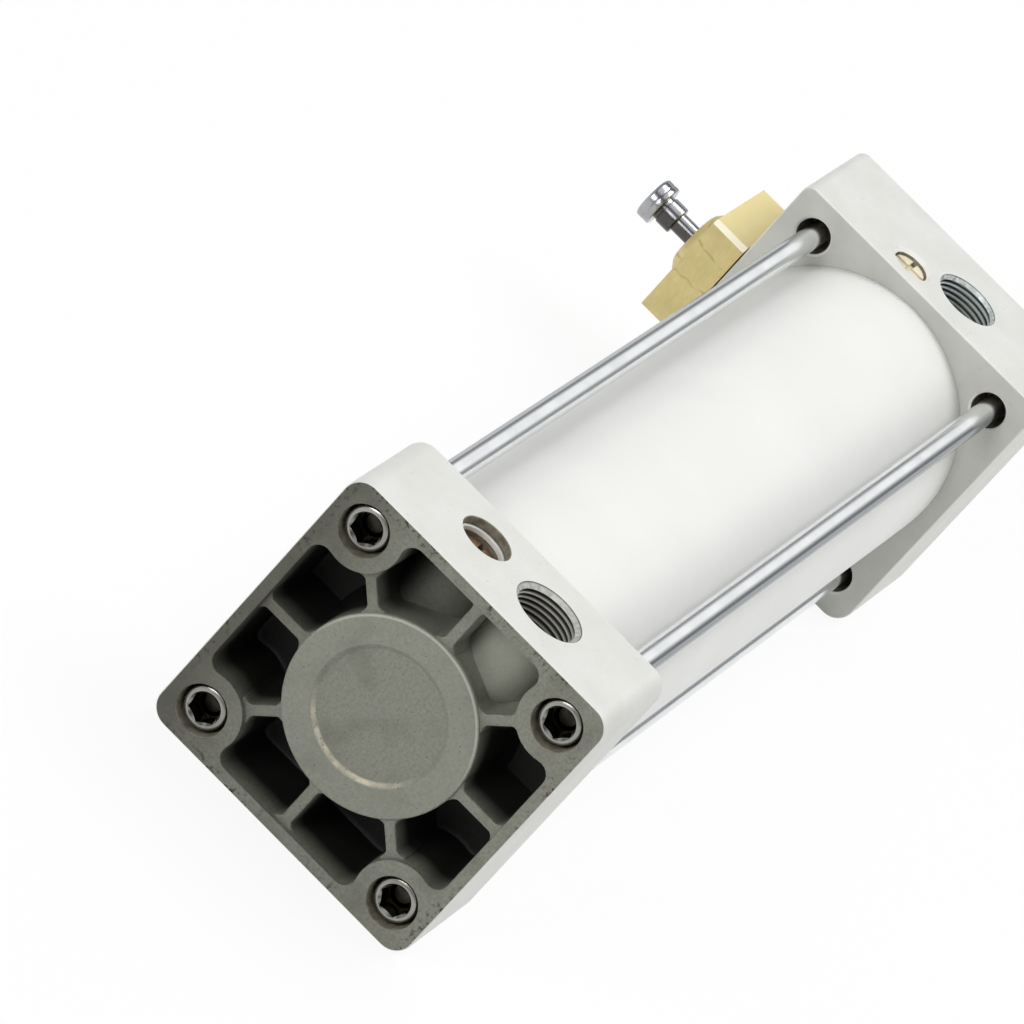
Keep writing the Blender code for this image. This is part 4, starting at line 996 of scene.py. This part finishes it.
rear_bore = turned("rear_bore", soften([
    (REAR_SPIGOT - 0.024, 0), (REAR_SPIGOT - 0.024, CUSHION_BORE), (REAR_SPIGOT, CUSHION_BORE),
    (REAR_SPIGOT + OVERRUN, CUSHION_BORE), (REAR_SPIGOT + OVERRUN, 0)]))
rear_seat = seat("rear_seat", REAR_INNER, -1)
rear_spigot = spigot("rear_spigot", REAR_INNER, REAR_SPIGOT, -1)
REAR_SCREW_STEPS = [(0.0018, 0.0192), (0.0043, 0.0256)]
REAR_SCREW_HOLE = 0.0062
REAR_SCREW_CHAMFER = 0.0002
RING_GROOVE = 0.0068
RING_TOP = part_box("rear_snap_ring")[1].z + GAP
RING_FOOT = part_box("rear_snap_ring")[0].z - GAP
rear_screw_hole = screw_hole("rear_screw_hole", REAR_SCREW, [
    *REAR_SCREW_STEPS, (REAR_SCREW_HOLE, RING_FOOT), (RING_GROOVE, RING_TOP)],
    REAR_SCREW_HOLE, REAR_SCREW_CHAMFER)
print("the snap ring's groove reaches from", RING_FOOT, "to", RING_TOP)

# %% [markdown]
# Which finish a face gets follows from where it lies: the four sides are blasted, holes are bare
# metal, and all the rest keeps the skin of the mould.

# %% Cut the rear cap and finish it
combine(rear_cap, [rear_seat], "DIFFERENCE")
combine(rear_cap, [rear_spigot], "UNION")
combine(rear_cap, [rear_bore, port_cut("rear_port_cut", REAR_PORT, REAR_PORT_MOUTH, 0.004),
                   rear_screw_hole, *tie_holes("rear_tie_hole", REAR_FACE, REAR_INNER, -1)],
        "DIFFERENCE")
join(rear_cap, [port_thread("rear_port_thread", REAR_PORT, REAR_PORT_METAL)])


def depth_inside(point):
    """How far a point lies inside the square outline of the caps."""
    y, z = abs(point.y), abs(point.z)
    core = HALF - CORNER_RADIUS
    if y > core and z > core:
        return CORNER_RADIUS - math.hypot(y - core, z - core)
    return HALF - max(y, z)


def in_hole(point, centre, radius, bottom):
    """Whether a point lies in a hole that is drilled down from the +Z side."""
    near = math.hypot(point.x - centre[0], point.y - centre[1]) < radius
    return near and bottom < point.z < HALF - 0.00002


def in_tie_hole(point):
    return math.hypot(abs(point.y) - TIE, abs(point.z) - TIE) < NUT_HOLE + TOLERANCE


def rear_cap_finish(point, normal):
    if in_hole(point, REAR_PORT, REAR_PORT_MOUTH + TOLERANCE, HALF - PORT_DEPTH - TOLERANCE):
        return 2
    # The screw hole and the rod holes get the shaded bore finish as painted shade.
    if in_hole(point, REAR_SCREW, 0.007, 0.015) or (
            in_tie_hole(point) and REAR_FACE + TOLERANCE < point.x < REAR_INNER - TOLERANCE):
        return 3
    # Faces towards the barrel get the darker milled copy as painted shade.
    if normal.x > 0.9:
        return 4
    if depth_inside(point) < 0.0007 and abs(normal.x) < 0.8:
        return 1
    return 0


dress(rear_cap, ["rear_cap"], "cylinder_body",
      [RAW_CASTING, BLASTED, REAR_PORT_METAL, SHADED_BORE, SHADED_MILLED], rear_cap_finish)

# %% [markdown]
# ## The head cap
#
# The far cap carries the rod. It is a plain block with a round nose, and it has the same holes as the
# rear one: an air port and a cushion screw on top, four counterbored rod holes, and one hole more at
# the side for the valve.

# %% Head cap
HEAD_SCREW = middle("head_cushion_screw")
HEAD_SCREW.z = 0
VALVE_CORNER_RADIUS = 0.0026


def head_outline(inset):
    """The head cap's section. Its corner next to the valve is milled almost sharp."""
    half, radius = HALF - inset, VALVE_CORNER_RADIUS - inset
    corner = arc((half - radius, half - radius), radius, 0, math.pi / 2, 10)
    return corner + square_outline(inset)[len(corner):]


head_cap = new_piece("head_cap_casting", stacked(
    "head_cap_casting", head_outline, rounded_ends(HEAD_INNER, HEAD_FACE, 0.0005)))
nose = turned("nose", soften([
    (HEAD_FACE - OVERRUN, 0), (HEAD_FACE - OVERRUN, NOSE_RADIUS + OVERRUN),
    (HEAD_FACE, NOSE_RADIUS + OVERRUN), (HEAD_FACE + OVERRUN, NOSE_RADIUS, 0.0008),
    (NOSE_FACE - 0.0008, NOSE_RADIUS), (NOSE_FACE, 0.0217), (NOSE_FACE, 0)]))
head_seat = seat("head_seat", HEAD_INNER, 1)
head_spigot = spigot("head_spigot", HEAD_INNER, HEAD_SPIGOT, 1)
bush_low, bush_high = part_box("rod_bush")
wiper_low, wiper_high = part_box("rod_wiper")
HEAD_CUSHION_BORE = 0.0155
CUSHION_END = HEAD_SPIGOT + 0.0225
BUSH_SEAT = bush_high.z + GAP
WIPER_SEAT = wiper_high.z + GAP
head_bore = turned("head_bore", [
    (HEAD_SPIGOT - OVERRUN, 0), (HEAD_SPIGOT - OVERRUN, HEAD_CUSHION_BORE),
    (CUSHION_END, HEAD_CUSHION_BORE), (CUSHION_END, BUSH_SEAT),
    (wiper_low.x - GAP, BUSH_SEAT), (wiper_low.x - GAP, WIPER_SEAT),
    (NOSE_FACE - 0.0004, WIPER_SEAT), (NOSE_FACE, WIPER_SEAT + 0.0004),
    (NOSE_FACE + OVERRUN, WIPER_SEAT + 0.0004), (NOSE_FACE + OVERRUN, 0)])
HEAD_SCREW_STEPS = [(0.0015, 0.0218), (0.0031, 0.0288)]
HEAD_SCREW_HOLE = 0.0046
HEAD_SCREW_CHAMFER = 0.0009
head_screw_hole = screw_hole("head_screw_hole", HEAD_SCREW, HEAD_SCREW_STEPS, HEAD_SCREW_HOLE,
                             HEAD_SCREW_CHAMFER)
VALVE_PASSAGE = 0.0025
VALVE_HOLE = 0.0053
VALVE_HOLE_BOTTOM = 0.026
valve_hole = turned("valve_hole", [
    (PASSAGE_END, 0), (PASSAGE_END, VALVE_PASSAGE), (VALVE_HOLE_BOTTOM, VALVE_PASSAGE),
    (VALVE_HOLE_BOTTOM, VALVE_HOLE), (HALF + OVERRUN, VALVE_HOLE), (HALF + OVERRUN, 0)],
    SMALL_ROUND, "Y", VALVE_AXIS)
combine(head_cap, [nose], "UNION")
combine(head_cap, [head_seat], "DIFFERENCE")
combine(head_cap, [head_spigot], "UNION")
combine(head_cap, [head_bore, port_cut("head_port_cut", HEAD_PORT, HEAD_PORT_MOUTH, 0.003),
                   head_screw_hole, valve_hole,
                   *tie_holes("head_tie_hole", HEAD_FACE, HEAD_INNER, 1)], "DIFFERENCE")
join(head_cap, [port_thread("head_port_thread", HEAD_PORT, HEAD_PORT_METAL)])


def head_cap_finish(point, normal):
    if in_hole(point, HEAD_PORT, HEAD_PORT_MOUTH + TOLERANCE, HALF - PORT_DEPTH - TOLERANCE):
        return 1
    # The screw hole gets the shaded bore finish as painted shade.
    if in_hole(point, HEAD_SCREW, 0.0048, 0.015):
        return 2
    # Rod holes get the shaded bore finish as painted shade, and their mouth chamfers the white ring
    # finish as a painted highlight.
    if in_tie_hole(point) and HEAD_INNER + TOLERANCE < point.x < HEAD_FACE - TOLERANCE:
        return 4 if point.x < HEAD_INNER + WIDE_CHAMFER else 2
    # The screw hole's mouth chamfer gets the white ring finish as a painted highlight.
    if in_hole(point, HEAD_SCREW, 0.0056, HALF - 0.001):
        return 4
    # Faces towards the barrel get the darker milled copy as painted shade.
    return 3 if normal.x < -0.9 else 0


dress(head_cap, ["head_cap"], "cylinder_body",
      [BLASTED, HEAD_PORT_METAL, SHADED_BORE, SHADED_MILLED, RING_STEEL], head_cap_finish)

# %% [markdown]
# ## Barrel, tie rods and nuts
#
# The barrel is a drawn tube. The rods and their nuts stand on a square round it, so one tree sets out
# all four. A nut is a round sleeve with a hexagon socket and a conical mouth. It is left at whatever
# angle it was tight, so each one gets its own turn from a fixed seed.

# %% Barrel and tie rods
barrel = new_piece("barrel", turned("barrel", [
    (tube_low.x, BORE_RADIUS + EDGE_BREAK), (tube_low.x + EDGE_BREAK, BORE_RADIUS),
    (tube_high.x - EDGE_BREAK, BORE_RADIUS), (tube_high.x, BORE_RADIUS + EDGE_BREAK),
    (tube_high.x, TUBE_RADIUS - EDGE_BREAK), (tube_high.x - EDGE_BREAK, TUBE_RADIUS),
    (tube_low.x + EDGE_BREAK, TUBE_RADIUS), (tube_low.x, TUBE_RADIUS - EDGE_BREAK)], 128))
dress(barrel, ["barrel_tube"], "cylinder_body", [TUBE])

tie_low, tie_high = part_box("tie_rod_1")
TIE_ROD_RADIUS = (tie_high.z - tie_low.z) / 2
TIE_ROD_CHAMFER = 0.0006
TIE_ROD_TIP = TIE_ROD_RADIUS - TIE_ROD_CHAMFER
tie_rod = turned("tie_rod", [
    (tie_low.x, 0), (tie_low.x, TIE_ROD_TIP), (tie_low.x + TIE_ROD_CHAMFER, TIE_ROD_RADIUS),
    (tie_high.x - TIE_ROD_CHAMFER, TIE_ROD_RADIUS), (tie_high.x, TIE_ROD_TIP), (tie_high.x, 0)],
    SMALL_ROUND)
RING_OF_RODS = {"radius": TIE * math.sqrt(2), "first": math.pi / 4}
tie_rods = new_piece("tie_rods", ring_of("tie_rods", tie_rod, ROD_ZINC, **RING_OF_RODS))
# The rod ends get the dark socket finish as painted shade.
dress(tie_rods, [f"tie_rod_{number}" for number in (1, 2, 3, 4)], "cylinder_body",
      [ROD_ZINC, SHADED_SOCKET], lambda point, normal: 1 if abs(normal.x) > 0.5 else 0)

# %% Tie nuts
NUT_RADIUS = 0.0051
SOCKET_CORNER = 0.0065 / math.sqrt(3)
SOCKET_DEPTH = 0.005
SOCKET_MOUTH = 0.0007
NUT_CHAMFER = 0.0009
REAR_NUT_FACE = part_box("rear_tie_nut_1")[0].x
HEAD_NUT_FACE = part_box("head_tie_nut_1")[1].x


def tie_nut(name, low, high, outward):
    """A nut between two places along X, with its socket open towards outward."""
    top, foot = (high, low) if outward > 0 else (low, high)
    body = new_piece(name, turned(name, [
        (foot, TIE_ROD_RADIUS + GAP), (foot, NUT_RADIUS - EDGE_BREAK),
        (foot + outward * EDGE_BREAK, NUT_RADIUS), (top - outward * NUT_CHAMFER, NUT_RADIUS),
        (top - outward * EDGE_BREAK, NUT_RADIUS - EDGE_BREAK), (top, NUT_RADIUS - NUT_CHAMFER),
        (top, TIE_ROD_RADIUS + GAP)], 64))
    socket = turned("socket", [
        (top + outward * OVERRUN, 0), (top + outward * OVERRUN, SOCKET_CORNER),
        (top - outward * SOCKET_DEPTH, SOCKET_CORNER), (top - outward * SOCKET_DEPTH, 0)], 6)
    mouth = turned("mouth", [
        (top + outward * OVERRUN, 0), (top + outward * OVERRUN, SOCKET_CORNER + 0.0001),
        (top, SOCKET_CORNER + 0.0001), (top - outward * SOCKET_MOUTH, SOCKET_CORNER - 0.0006),
        (top - outward * SOCKET_MOUTH, 0)], 64)
    combine(body, [socket, mouth], "DIFFERENCE")
    mesh = body.data
    bpy.data.objects.remove(body)
    return mesh


def nut_finish(point, normal):
    """The socket and the bore below the conical mouth get painted shade, the rest is bare."""
    away = math.hypot(abs(point.y) - TIE, abs(point.z) - TIE)
    from_end = min(abs(point.x - REAR_NUT_FACE), abs(point.x - HEAD_NUT_FACE))
    return 1 if away < SOCKET_CORNER - TOLERANCE and from_end > SOCKET_MOUTH else 0


for end, outward, seed in (("rear", -1, 3), ("head", 1, 8)):
    names = [f"{end}_tie_nut_{number}" for number in (1, 2, 3, 4)]
    nut_low, nut_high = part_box(names[0])
    nut = tie_nut(end + "_tie_nut", nut_low.x, nut_high.x, outward)
    nuts = new_piece(end + "_tie_nuts", ring_of(
        end + "_tie_nuts", nut, NUT_STEEL, own_turn=math.tau, seed=seed, **RING_OF_RODS))
    dress(nuts, names, "cylinder_body", [NUT_STEEL, SHADED_SOCKET], nut_finish)

# %% [markdown]
# ## Cushion screws
#
# A cushion screw throttles the last of the exhaust air. The rear one sits deep in its hole under a
# snap ring and has one slot, and the head one is almost flush and has a cross slot. Both are turned
# brass with a rounded edge, and the slots are cut across the face.

# %% Cushion screws and snap ring
SCREW_HEAD = 0.0045
SCREW_LENGTH = 0.013
SLOT_WIDTH = 0.0012
SLOT_DEPTH = 0.0012


def bar(name, length, width, height, centre, along_x=True):
    """A plain bar that cuts a slot or a flat."""
    size = (length, width, height) if along_x else (width, length, height)
    return mesh_of(name, cuboid(size, centre))


def cushion_screw(node, piece_name, body_radius, point_radius, slots, finish_of_screw, body_name):
    low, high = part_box(node)
    centre = (low + high) / 2
    head = (high.x - low.x) / 2
    face = high.z
    under, body_end = face - SCREW_HEAD, face - SCREW_LENGTH
    screw = new_piece(piece_name, turned(piece_name, soften([
        (face, 0), (face, head, 0.0004), (under, head, 0.0002), (under, body_radius, 0.0001),
        (body_end + 0.0005, body_radius), (body_end, body_radius - 0.0005),
        (body_end, point_radius), (low.z, 0.0004), (low.z, 0)]), SMALL_ROUND, "Z",
        (centre.x, centre.y, 0)))
    cuts = [bar("slot", 0.02, SLOT_WIDTH, 2 * SLOT_DEPTH, (centre.x, centre.y, face), along)
            for along in (True, False)[:slots]]
    combine(screw, cuts, "DIFFERENCE")
    dress(screw, [node], body_name, [finish_of_screw])


cushion_screw("rear_cushion_screw", "rear_screw", 0.004, 0.0015, 1, SHADED_SCREW_BRASS,
              "rear_cushion_needle")
cushion_screw("head_cushion_screw", "head_screw", 0.0028, 0.0012, 2, PALE_BRASS,
              "head_cushion_needle")

SNAP_RING_INNER = 0.0057
SNAP_RING_OUTER = 0.0065
ring_low, ring_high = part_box("rear_snap_ring")
ring_centre = middle("rear_snap_ring")
snap_ring = new_piece("snap_ring", turned("snap_ring", soften([
    (ring_low.z, SNAP_RING_INNER, 0.0002), (ring_low.z, SNAP_RING_OUTER, 0.0002),
    (ring_high.z, SNAP_RING_OUTER, 0.0002), (ring_high.z, SNAP_RING_INNER, 0.0003)],
    closed=True), SMALL_ROUND, "Z",
    (ring_centre.x, ring_centre.y, 0)))
dress(snap_ring, ["rear_snap_ring"], "cylinder_body", [RING_STEEL])

# %% [markdown]
# ## Piston rod
#
# The rod is ground and hard chromed. Outside the cap it has two flats for a spanner, a shoulder and
# an M16 thread with a lock nut. The thread starts with a chamfer and runs out in a groove at the
# shoulder, as a die cuts it.

# %% Rod and lock nut
ROD_RADIUS = 0.010
THREAD_RADIUS = 0.008
THREAD_ROOT = 0.00708
PITCH = 0.0015
SPIGOT_RADIUS = 0.007
PISTON_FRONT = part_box("piston")[1].x + GAP
ROD_END = rod_high.x
THREAD_LENGTH = 0.032
SHOULDER = ROD_END - THREAD_LENGTH
rod = new_piece("rod", turned("rod", [
    (rod_low.x, 0), (rod_low.x, SPIGOT_RADIUS), (PISTON_FRONT, SPIGOT_RADIUS),
    (PISTON_FRONT, ROD_RADIUS - EDGE_BREAK), (PISTON_FRONT + EDGE_BREAK, ROD_RADIUS),
    (SHOULDER - 0.0011, ROD_RADIUS), (SHOULDER - 0.0009, ROD_RADIUS - 0.0001),
    (SHOULDER, ROD_RADIUS - 0.001), (SHOULDER, THREAD_ROOT - 0.0002),
    (SHOULDER + 0.0018, THREAD_ROOT - 0.0002), (SHOULDER + 0.0024, THREAD_ROOT),
    (ROD_END - 0.001, THREAD_ROOT), (ROD_END, THREAD_ROOT - 0.0006), (ROD_END, 0)]))
flats = [bar("flat", 0.009, 0.03, 0.01, (SHOULDER - 0.0065, 0, side * 0.0135)) for side in (-1, 1)]
combine(rod, flats, "DIFFERENCE")
ridge = THREAD_RADIUS - THREAD_ROOT + 0.00006
join(rod, [thread("rod_thread", THREAD_RADIUS - ridge / 2, PITCH, 0.0272, ridge, CHROME, "X",
                  (SHOULDER + 0.0032, 0, 0), 64)])


def rod_finish(point, normal):
    return 1 if point.x > SHOULDER - 0.00001 else 0


dress(rod, ["piston_rod"], "piston_and_rod", [CHROME, THREAD_STEEL], rod_finish)

lock_low, lock_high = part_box("rod_nut")
HEX_CORNER = 0.024 / math.sqrt(3)
LOCK_FACE = 0.0114
LOCK_BEVEL = 0.0014
TAP_MOUTH = 0.0092
TAP_CHAMFER = 0.0009
lock_nut = new_piece("lock_nut", turned("lock_nut", [
    (lock_low.x, 0), (lock_low.x, HEX_CORNER), (lock_high.x, HEX_CORNER), (lock_high.x, 0)], 6))
bevelled = turned("bevelled", [
    (lock_low.x, 0), (lock_low.x, LOCK_FACE), (lock_low.x + LOCK_BEVEL, HEX_CORNER + 0.0001),
    (lock_high.x - LOCK_BEVEL, HEX_CORNER + 0.0001), (lock_high.x, LOCK_FACE), (lock_high.x, 0)])
combine(lock_nut, [bevelled], "INTERSECT")
tapped = turned("tapped", [
    (lock_low.x - OVERRUN, 0), (lock_low.x - OVERRUN, TAP_MOUTH), (lock_low.x, TAP_MOUTH),
    (lock_low.x + TAP_CHAMFER, THREAD_RADIUS + GAP),
    (lock_high.x - TAP_CHAMFER, THREAD_RADIUS + GAP),
    (lock_high.x, TAP_MOUTH), (lock_high.x + OVERRUN, TAP_MOUTH), (lock_high.x + OVERRUN, 0)])
combine(lock_nut, [tapped], "DIFFERENCE")
dress(lock_nut, ["rod_nut"], "piston_and_rod", [ZINC])

# %% [markdown]
# ## Throttle valve
#
# A small brass block on the head cap's side lets the speed be set. A gland nut holds a steel needle
# with a collar and a flat knob. The block is sawn from bar and bevelled, and two faint lines on its
# front show where the bar was folded in rolling, so the finish draws them there. The finish also
# paints light on the block's top face and a highlight along its bevel.

# %% Brass of the valve
block_low, block_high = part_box("valve_body")
BLOCK_BASE = HALF + GAP
BLOCK_SEAMS = ((0.0062, -0.10), (-0.0012, 0.12))
BRIGHT_BEVEL = 0.0011


def paint_block_brass(nodes):
    place = place_of(nodes)
    grain = noise(nodes, stretched(nodes, place, 1, 1, 0.15), 0.0004, 2.0)
    clouds = noise(nodes, place, 0.006, 3.0)
    colour = blend(nodes, slope(nodes, clouds, 0.3, 0.7), tint(222, 205, 146), tint(205, 189, 130))
    colour = blend(nodes, slope(nodes, grain, 0.3, 0.7) * 0.25, colour, tint(188, 170, 112))
    wobble = (noise(nodes, place, 0.004) - 0.5) * 0.003
    y, z = part_of(nodes, place, "Y"), part_of(nodes, place, "Z")
    for start, lean in BLOCK_SEAMS:
        off = abs(z + (y - BLOCK_BASE) * lean + wobble - start)
        line = 1 - slope(nodes, off, 0.00005, 0.0005)
        broken = slope(nodes, noise(nodes, place, 0.005), 0.4, 0.6)
        colour = blend(nodes, line * broken * 0.6, colour, tint(140, 122, 76))
    x = part_of(nodes, place, "X")
    # Painted highlight along the bevel, and painted light on the top face.
    off_edge = (x - block_low.x) + (block_high.z - z)
    bevel = 1 - slope(nodes, off_edge, BRIGHT_BEVEL + 0.00005, BRIGHT_BEVEL + 0.00015)
    painted_lit_top = slope(nodes, z, block_high.z - 0.0003, block_high.z - 0.0001)
    colour = blend(nodes, painted_lit_top * 0.7, colour, tint(248, 232, 172))
    colour = blend(nodes, bevel, colour, tint(252, 246, 220))
    return {"Base Color": colour, "Metallic": 0.3, "Roughness": slope(nodes, grain, 0, 1) * 0.2 + 0.4,
            "Normal": bump(nodes, grain, 0.00006, 0.3)}


BLOCK_BRASS = finish("valve_brass", paint_block_brass)

# %% Block, gland nut and needle
block_size = (block_high.x - block_low.x, block_high.y - BLOCK_BASE, block_high.z - block_low.z)
block_centre = (VALVE_X, (BLOCK_BASE + block_high.y) / 2, 0)
shape = cuboid(block_size, block_centre)
bmesh.ops.bevel(shape, geom=shape.edges[:], offset=0.0003, segments=2, profile=0.7, affect="EDGES")
shape.normal_update()
bmesh.ops.bisect_plane(shape, geom=shape.verts[:] + shape.edges[:] + shape.faces[:],
                       plane_co=(block_low.x + BRIGHT_BEVEL, 0, block_high.z),
                       plane_no=(-1, 0, 1), clear_outer=True)
bmesh.ops.holes_fill(shape, edges=[e for e in shape.edges if e.is_boundary])
bmesh.ops.recalc_face_normals(shape, faces=shape.faces[:])
valve_block = new_piece("valve_block", mesh_of("valve_block", shape))
combine(valve_block, [turned("valve_spigot", [
    (block_low.y, 0), (block_low.y, 0.0045), (block_low.y + 0.0005, 0.005),
    (BLOCK_BASE + OVERRUN, 0.005), (BLOCK_BASE + OVERRUN, 0)], SMALL_ROUND, "Y", VALVE_AXIS)],
    "UNION")
combine(valve_block, [
    turned("valve_bore", [
        (block_low.y - OVERRUN, 0), (block_low.y - OVERRUN, 0.0025), (BLOCK_BASE - 0.0018, 0.0025),
        (BLOCK_BASE - 0.0018, 0.0015), (BLOCK_BASE + 0.0004, 0.0015), (BLOCK_BASE + 0.0004, 0.0043),
        (block_high.y - 0.0031, 0.0043), (block_high.y - 0.0031, 0.0058),
        (block_high.y + OVERRUN, 0.0058), (block_high.y + OVERRUN, 0)], SMALL_ROUND, "Y",
        VALVE_AXIS),
    turned("valve_exhaust", [
        (VALVE_X, 0), (VALVE_X, 0.0008), (block_high.x - 0.0003, 0.0008), (block_high.x, 0.0011),
        (block_high.x + OVERRUN, 0.0011), (block_high.x + OVERRUN, 0)], 24, "X",
        (0, BLOCK_BASE + 0.0013, 0))], "DIFFERENCE")
dress(valve_block, ["valve_body"], "cylinder_body", [BLOCK_BRASS])

gland_low, gland_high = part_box("valve_gland")
GLAND_BORE = 0.0028
GLAND_NECK = 0.0055
GLAND_RADIUS = 0.009
GLAND_SEAT = gland_high.y - 0.0026
gland = new_piece("gland_nut", turned("gland_nut", soften([
    (gland_low.y, GLAND_BORE, 0.0002), (gland_low.y, GLAND_NECK, 0.0003),
    (GLAND_SEAT, GLAND_NECK), (GLAND_SEAT, GLAND_RADIUS, 0.0002),
    (gland_high.y - 0.0017, GLAND_RADIUS, 0.0006), (gland_high.y, 0.0068, 0.0008),
    (gland_high.y, 0.0031, 0.0002), (gland_high.y - 0.0003, GLAND_BORE)],
    closed=True), 72, "Y", VALVE_AXIS))
dress(gland, ["valve_gland"], "cylinder_body", [BLOCK_BRASS])

needle_low, needle_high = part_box("valve_needle")
SHAFT_RADIUS = 0.0025
COLLAR_RADIUS = 0.0036
KNOB_RADIUS = 0.00545
COLLAR_FOOT = KNOB_FOOT - 0.0048
needle = new_piece("adjusting_needle", turned("adjusting_needle", soften([
    (needle_low.y, 0), (needle_low.y, 0.0004), (needle_low.y + 0.0029, 0.0012),
    (needle_low.y + 0.0029, SHAFT_RADIUS, 0.0002), (COLLAR_FOOT, SHAFT_RADIUS, 0.0002),
    (COLLAR_FOOT, COLLAR_RADIUS, 0.0005), (KNOB_FOOT - 0.0008, COLLAR_RADIUS, 0.0003),
    (KNOB_FOOT - 0.0008, 0.0033), (KNOB_FOOT, 0.0033, 0.0002), (KNOB_FOOT, KNOB_RADIUS, 0.0006),
    (KNOB_FOOT + 0.0014, KNOB_RADIUS, 0.0002), (KNOB_FOOT + 0.0016, 0.00535, 0.0001),
    (KNOB_FOOT + 0.0018, KNOB_RADIUS, 0.0002), (needle_high.y - 0.0005, KNOB_RADIUS, 0.0003),
    (needle_high.y, 0.0049, 0.0003), (needle_high.y, 0)]), 72, "Y", VALVE_AXIS))
dress(needle, ["valve_needle"], "valve_needle_turn", [NEEDLE_STEEL])

# %% [markdown]
# ## Pieces inside
#
# Seals, bush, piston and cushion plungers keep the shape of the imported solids, because they are
# plain turned pieces. They get the same finishes as the pieces that show.

# %% Finishes of the inner pieces
INSIDE = {
    RUBBER: ("rear_barrel_seal", "head_barrel_seal", "rear_cushion_seal", "head_cushion_seal",
             "rod_wiper", "rear_piston_seal", "front_piston_seal", "rear_cushion_ring",
             "head_cushion_ring", "valve_ring"),
    BRONZE: ("rod_bush",),
    TURNED: ("piston", "head_cushion_sleeve", "rear_cushion_plunger"),
    WEAR_PLASTIC: ("piston_wear_ring",),
}
for inside_finish, nodes_inside in INSIDE.items():
    for node in nodes_inside:
        for slot in bpy.data.objects[node].material_slots:
            slot.material = inside_finish
print("finished inside:", sum(len(names) for names in INSIDE.values()))

# %% [markdown]
# ## Floor, light and camera
#
# The cylinder lies on a pale floor that runs out to white, like the photograph's paper. Most light
# comes from one wide lamp above and behind the head cap, and a weaker one reaches the open back.
# Rays that see or mirror the surroundings get white, with two darker belts above the horizon, so
# that round metal shows bands as it does in a studio with dark walls.

# %% Floor and surroundings
def seen_by(nodes):
    """1 for a ray of the camera, and for one that is mirrored or comes through glass."""
    ray = nodes.tree.nodes.new("ShaderNodeLightPath")
    camera_ray, glossy_ray, through_ray = (
        Wire(nodes, ray.outputs[f"Is {kind} Ray"]) for kind in ("Camera", "Glossy", "Transmission"))
    return camera_ray + glossy_ray + through_ray


def paint_floor(nodes):
    seen = seen_by(nodes)
    paper = nodes.add("ShaderNodeBsdfDiffuse", {}, {"Color": tint(244, 244, 244)})
    glow = nodes.add("ShaderNodeEmission", {}, {"Color": (1, 1, 1, 1), "Strength": 1.0})
    return nodes.add("ShaderNodeMixShader", {}, {0: seen * 0.9, 1: paper, 2: glow})


floor_material = bpy.data.materials.new("paper_floor")
floor_material.use_nodes = True
floor_material.node_tree.nodes.clear()
floor_nodes = Nodes(floor_material.node_tree)
floor_out = floor_nodes.tree.nodes.new("ShaderNodeOutputMaterial")
floor_nodes.feed(floor_out.inputs["Surface"], paint_floor(floor_nodes))
FLOOR_CORNERS = ((-8, -8), (8, -8), (8, 8), (-8, 8))
floor = new_piece("floor", skin("floor", [
    [(x, y, level) for x, y in FLOOR_CORNERS] for level in (-HALF, -HALF - 0.01)]))
floor.data.materials.append(floor_material)

world = bpy.data.worlds.new("studio")
bpy.context.scene.world = world
world.use_nodes = True
world.node_tree.nodes.clear()
air = Nodes(world.node_tree)
height = part_of(air, air.add("ShaderNodeTexCoord", {}, {}, "Generated"), "Z")
sky = air.add("ShaderNodeValToRGB", {"stops": (
    (0.04, (1, 1, 1, 1)), (0.1, (0.2, 0.21, 0.22, 1)), (0.29, (0.26, 0.27, 0.29, 1)),
    (0.37, (1, 1, 1, 1)), (0.5, (1, 1, 1, 1)), (0.58, (0.12, 0.13, 0.15, 1)),
    (0.8, (0.12, 0.13, 0.15, 1)), (0.88, (1, 1, 1, 1)))}, {"Fac": height})
soft_light = air.add("ShaderNodeBackground", {}, {"Color": (1, 1, 1, 1), "Strength": 0.42})
backdrop = air.add("ShaderNodeBackground", {}, {"Color": sky, "Strength": 1.0})
world_out = air.tree.nodes.new("ShaderNodeOutputWorld")
air.feed(world_out.inputs["Surface"],
         air.add("ShaderNodeMixShader", {}, {0: seen_by(air), 1: soft_light, 2: backdrop}))


def lamp(name, place, target, size, power):
    light = bpy.data.lights.new(name, "AREA")
    light.shape = "DISK"
    light.size = size
    light.energy = power
    piece = bpy.data.objects.new(name, light)
    bpy.context.scene.collection.objects.link(piece)
    piece.location = place
    aim = Vector(target) - Vector(place)
    piece.rotation_euler = aim.to_track_quat("-Z", "Y").to_euler()


lamp("key_lamp", (0.8, -0.35, 2.0), (0.12, 0, 0), 1.4, 28)
lamp("back_face_lamp", (-1.6, 0.7, 0.9), (0, 0, 0), 1.0, 14)

# %% [markdown]
# The camera stands where the photographer stood, found from the corners of the caps, the nuts and the
# ports in the photograph. Its axes are written as columns: to the right, up, and back from the object.

# %% Camera
CAMERA_PLACE = (-1.9032, -0.1973, 1.0051)
LENS_PIXELS = 10360.3
PHOTO_PIXELS = 1024
right = Vector((0.3772, -0.7024, 0.6036)).normalized()
up = Vector((0.2541, 0.7053, 0.6619)).normalized()
back = right.cross(up).normalized()
up = back.cross(right)
camera = bpy.data.objects.new("camera", bpy.data.cameras.new("camera"))
camera.data.sensor_width = 36
camera.data.lens = LENS_PIXELS / PHOTO_PIXELS * camera.data.sensor_width
camera.data.clip_end = 40
turn = Matrix((right, up, back)).transposed().to_4x4()
camera.matrix_world = Matrix.Translation(CAMERA_PLACE) @ turn
bpy.context.scene.collection.objects.link(camera)
bpy.context.scene.camera = camera
bpy.context.scene.view_settings.view_transform = "Standard"
print("lens", camera.data.lens)
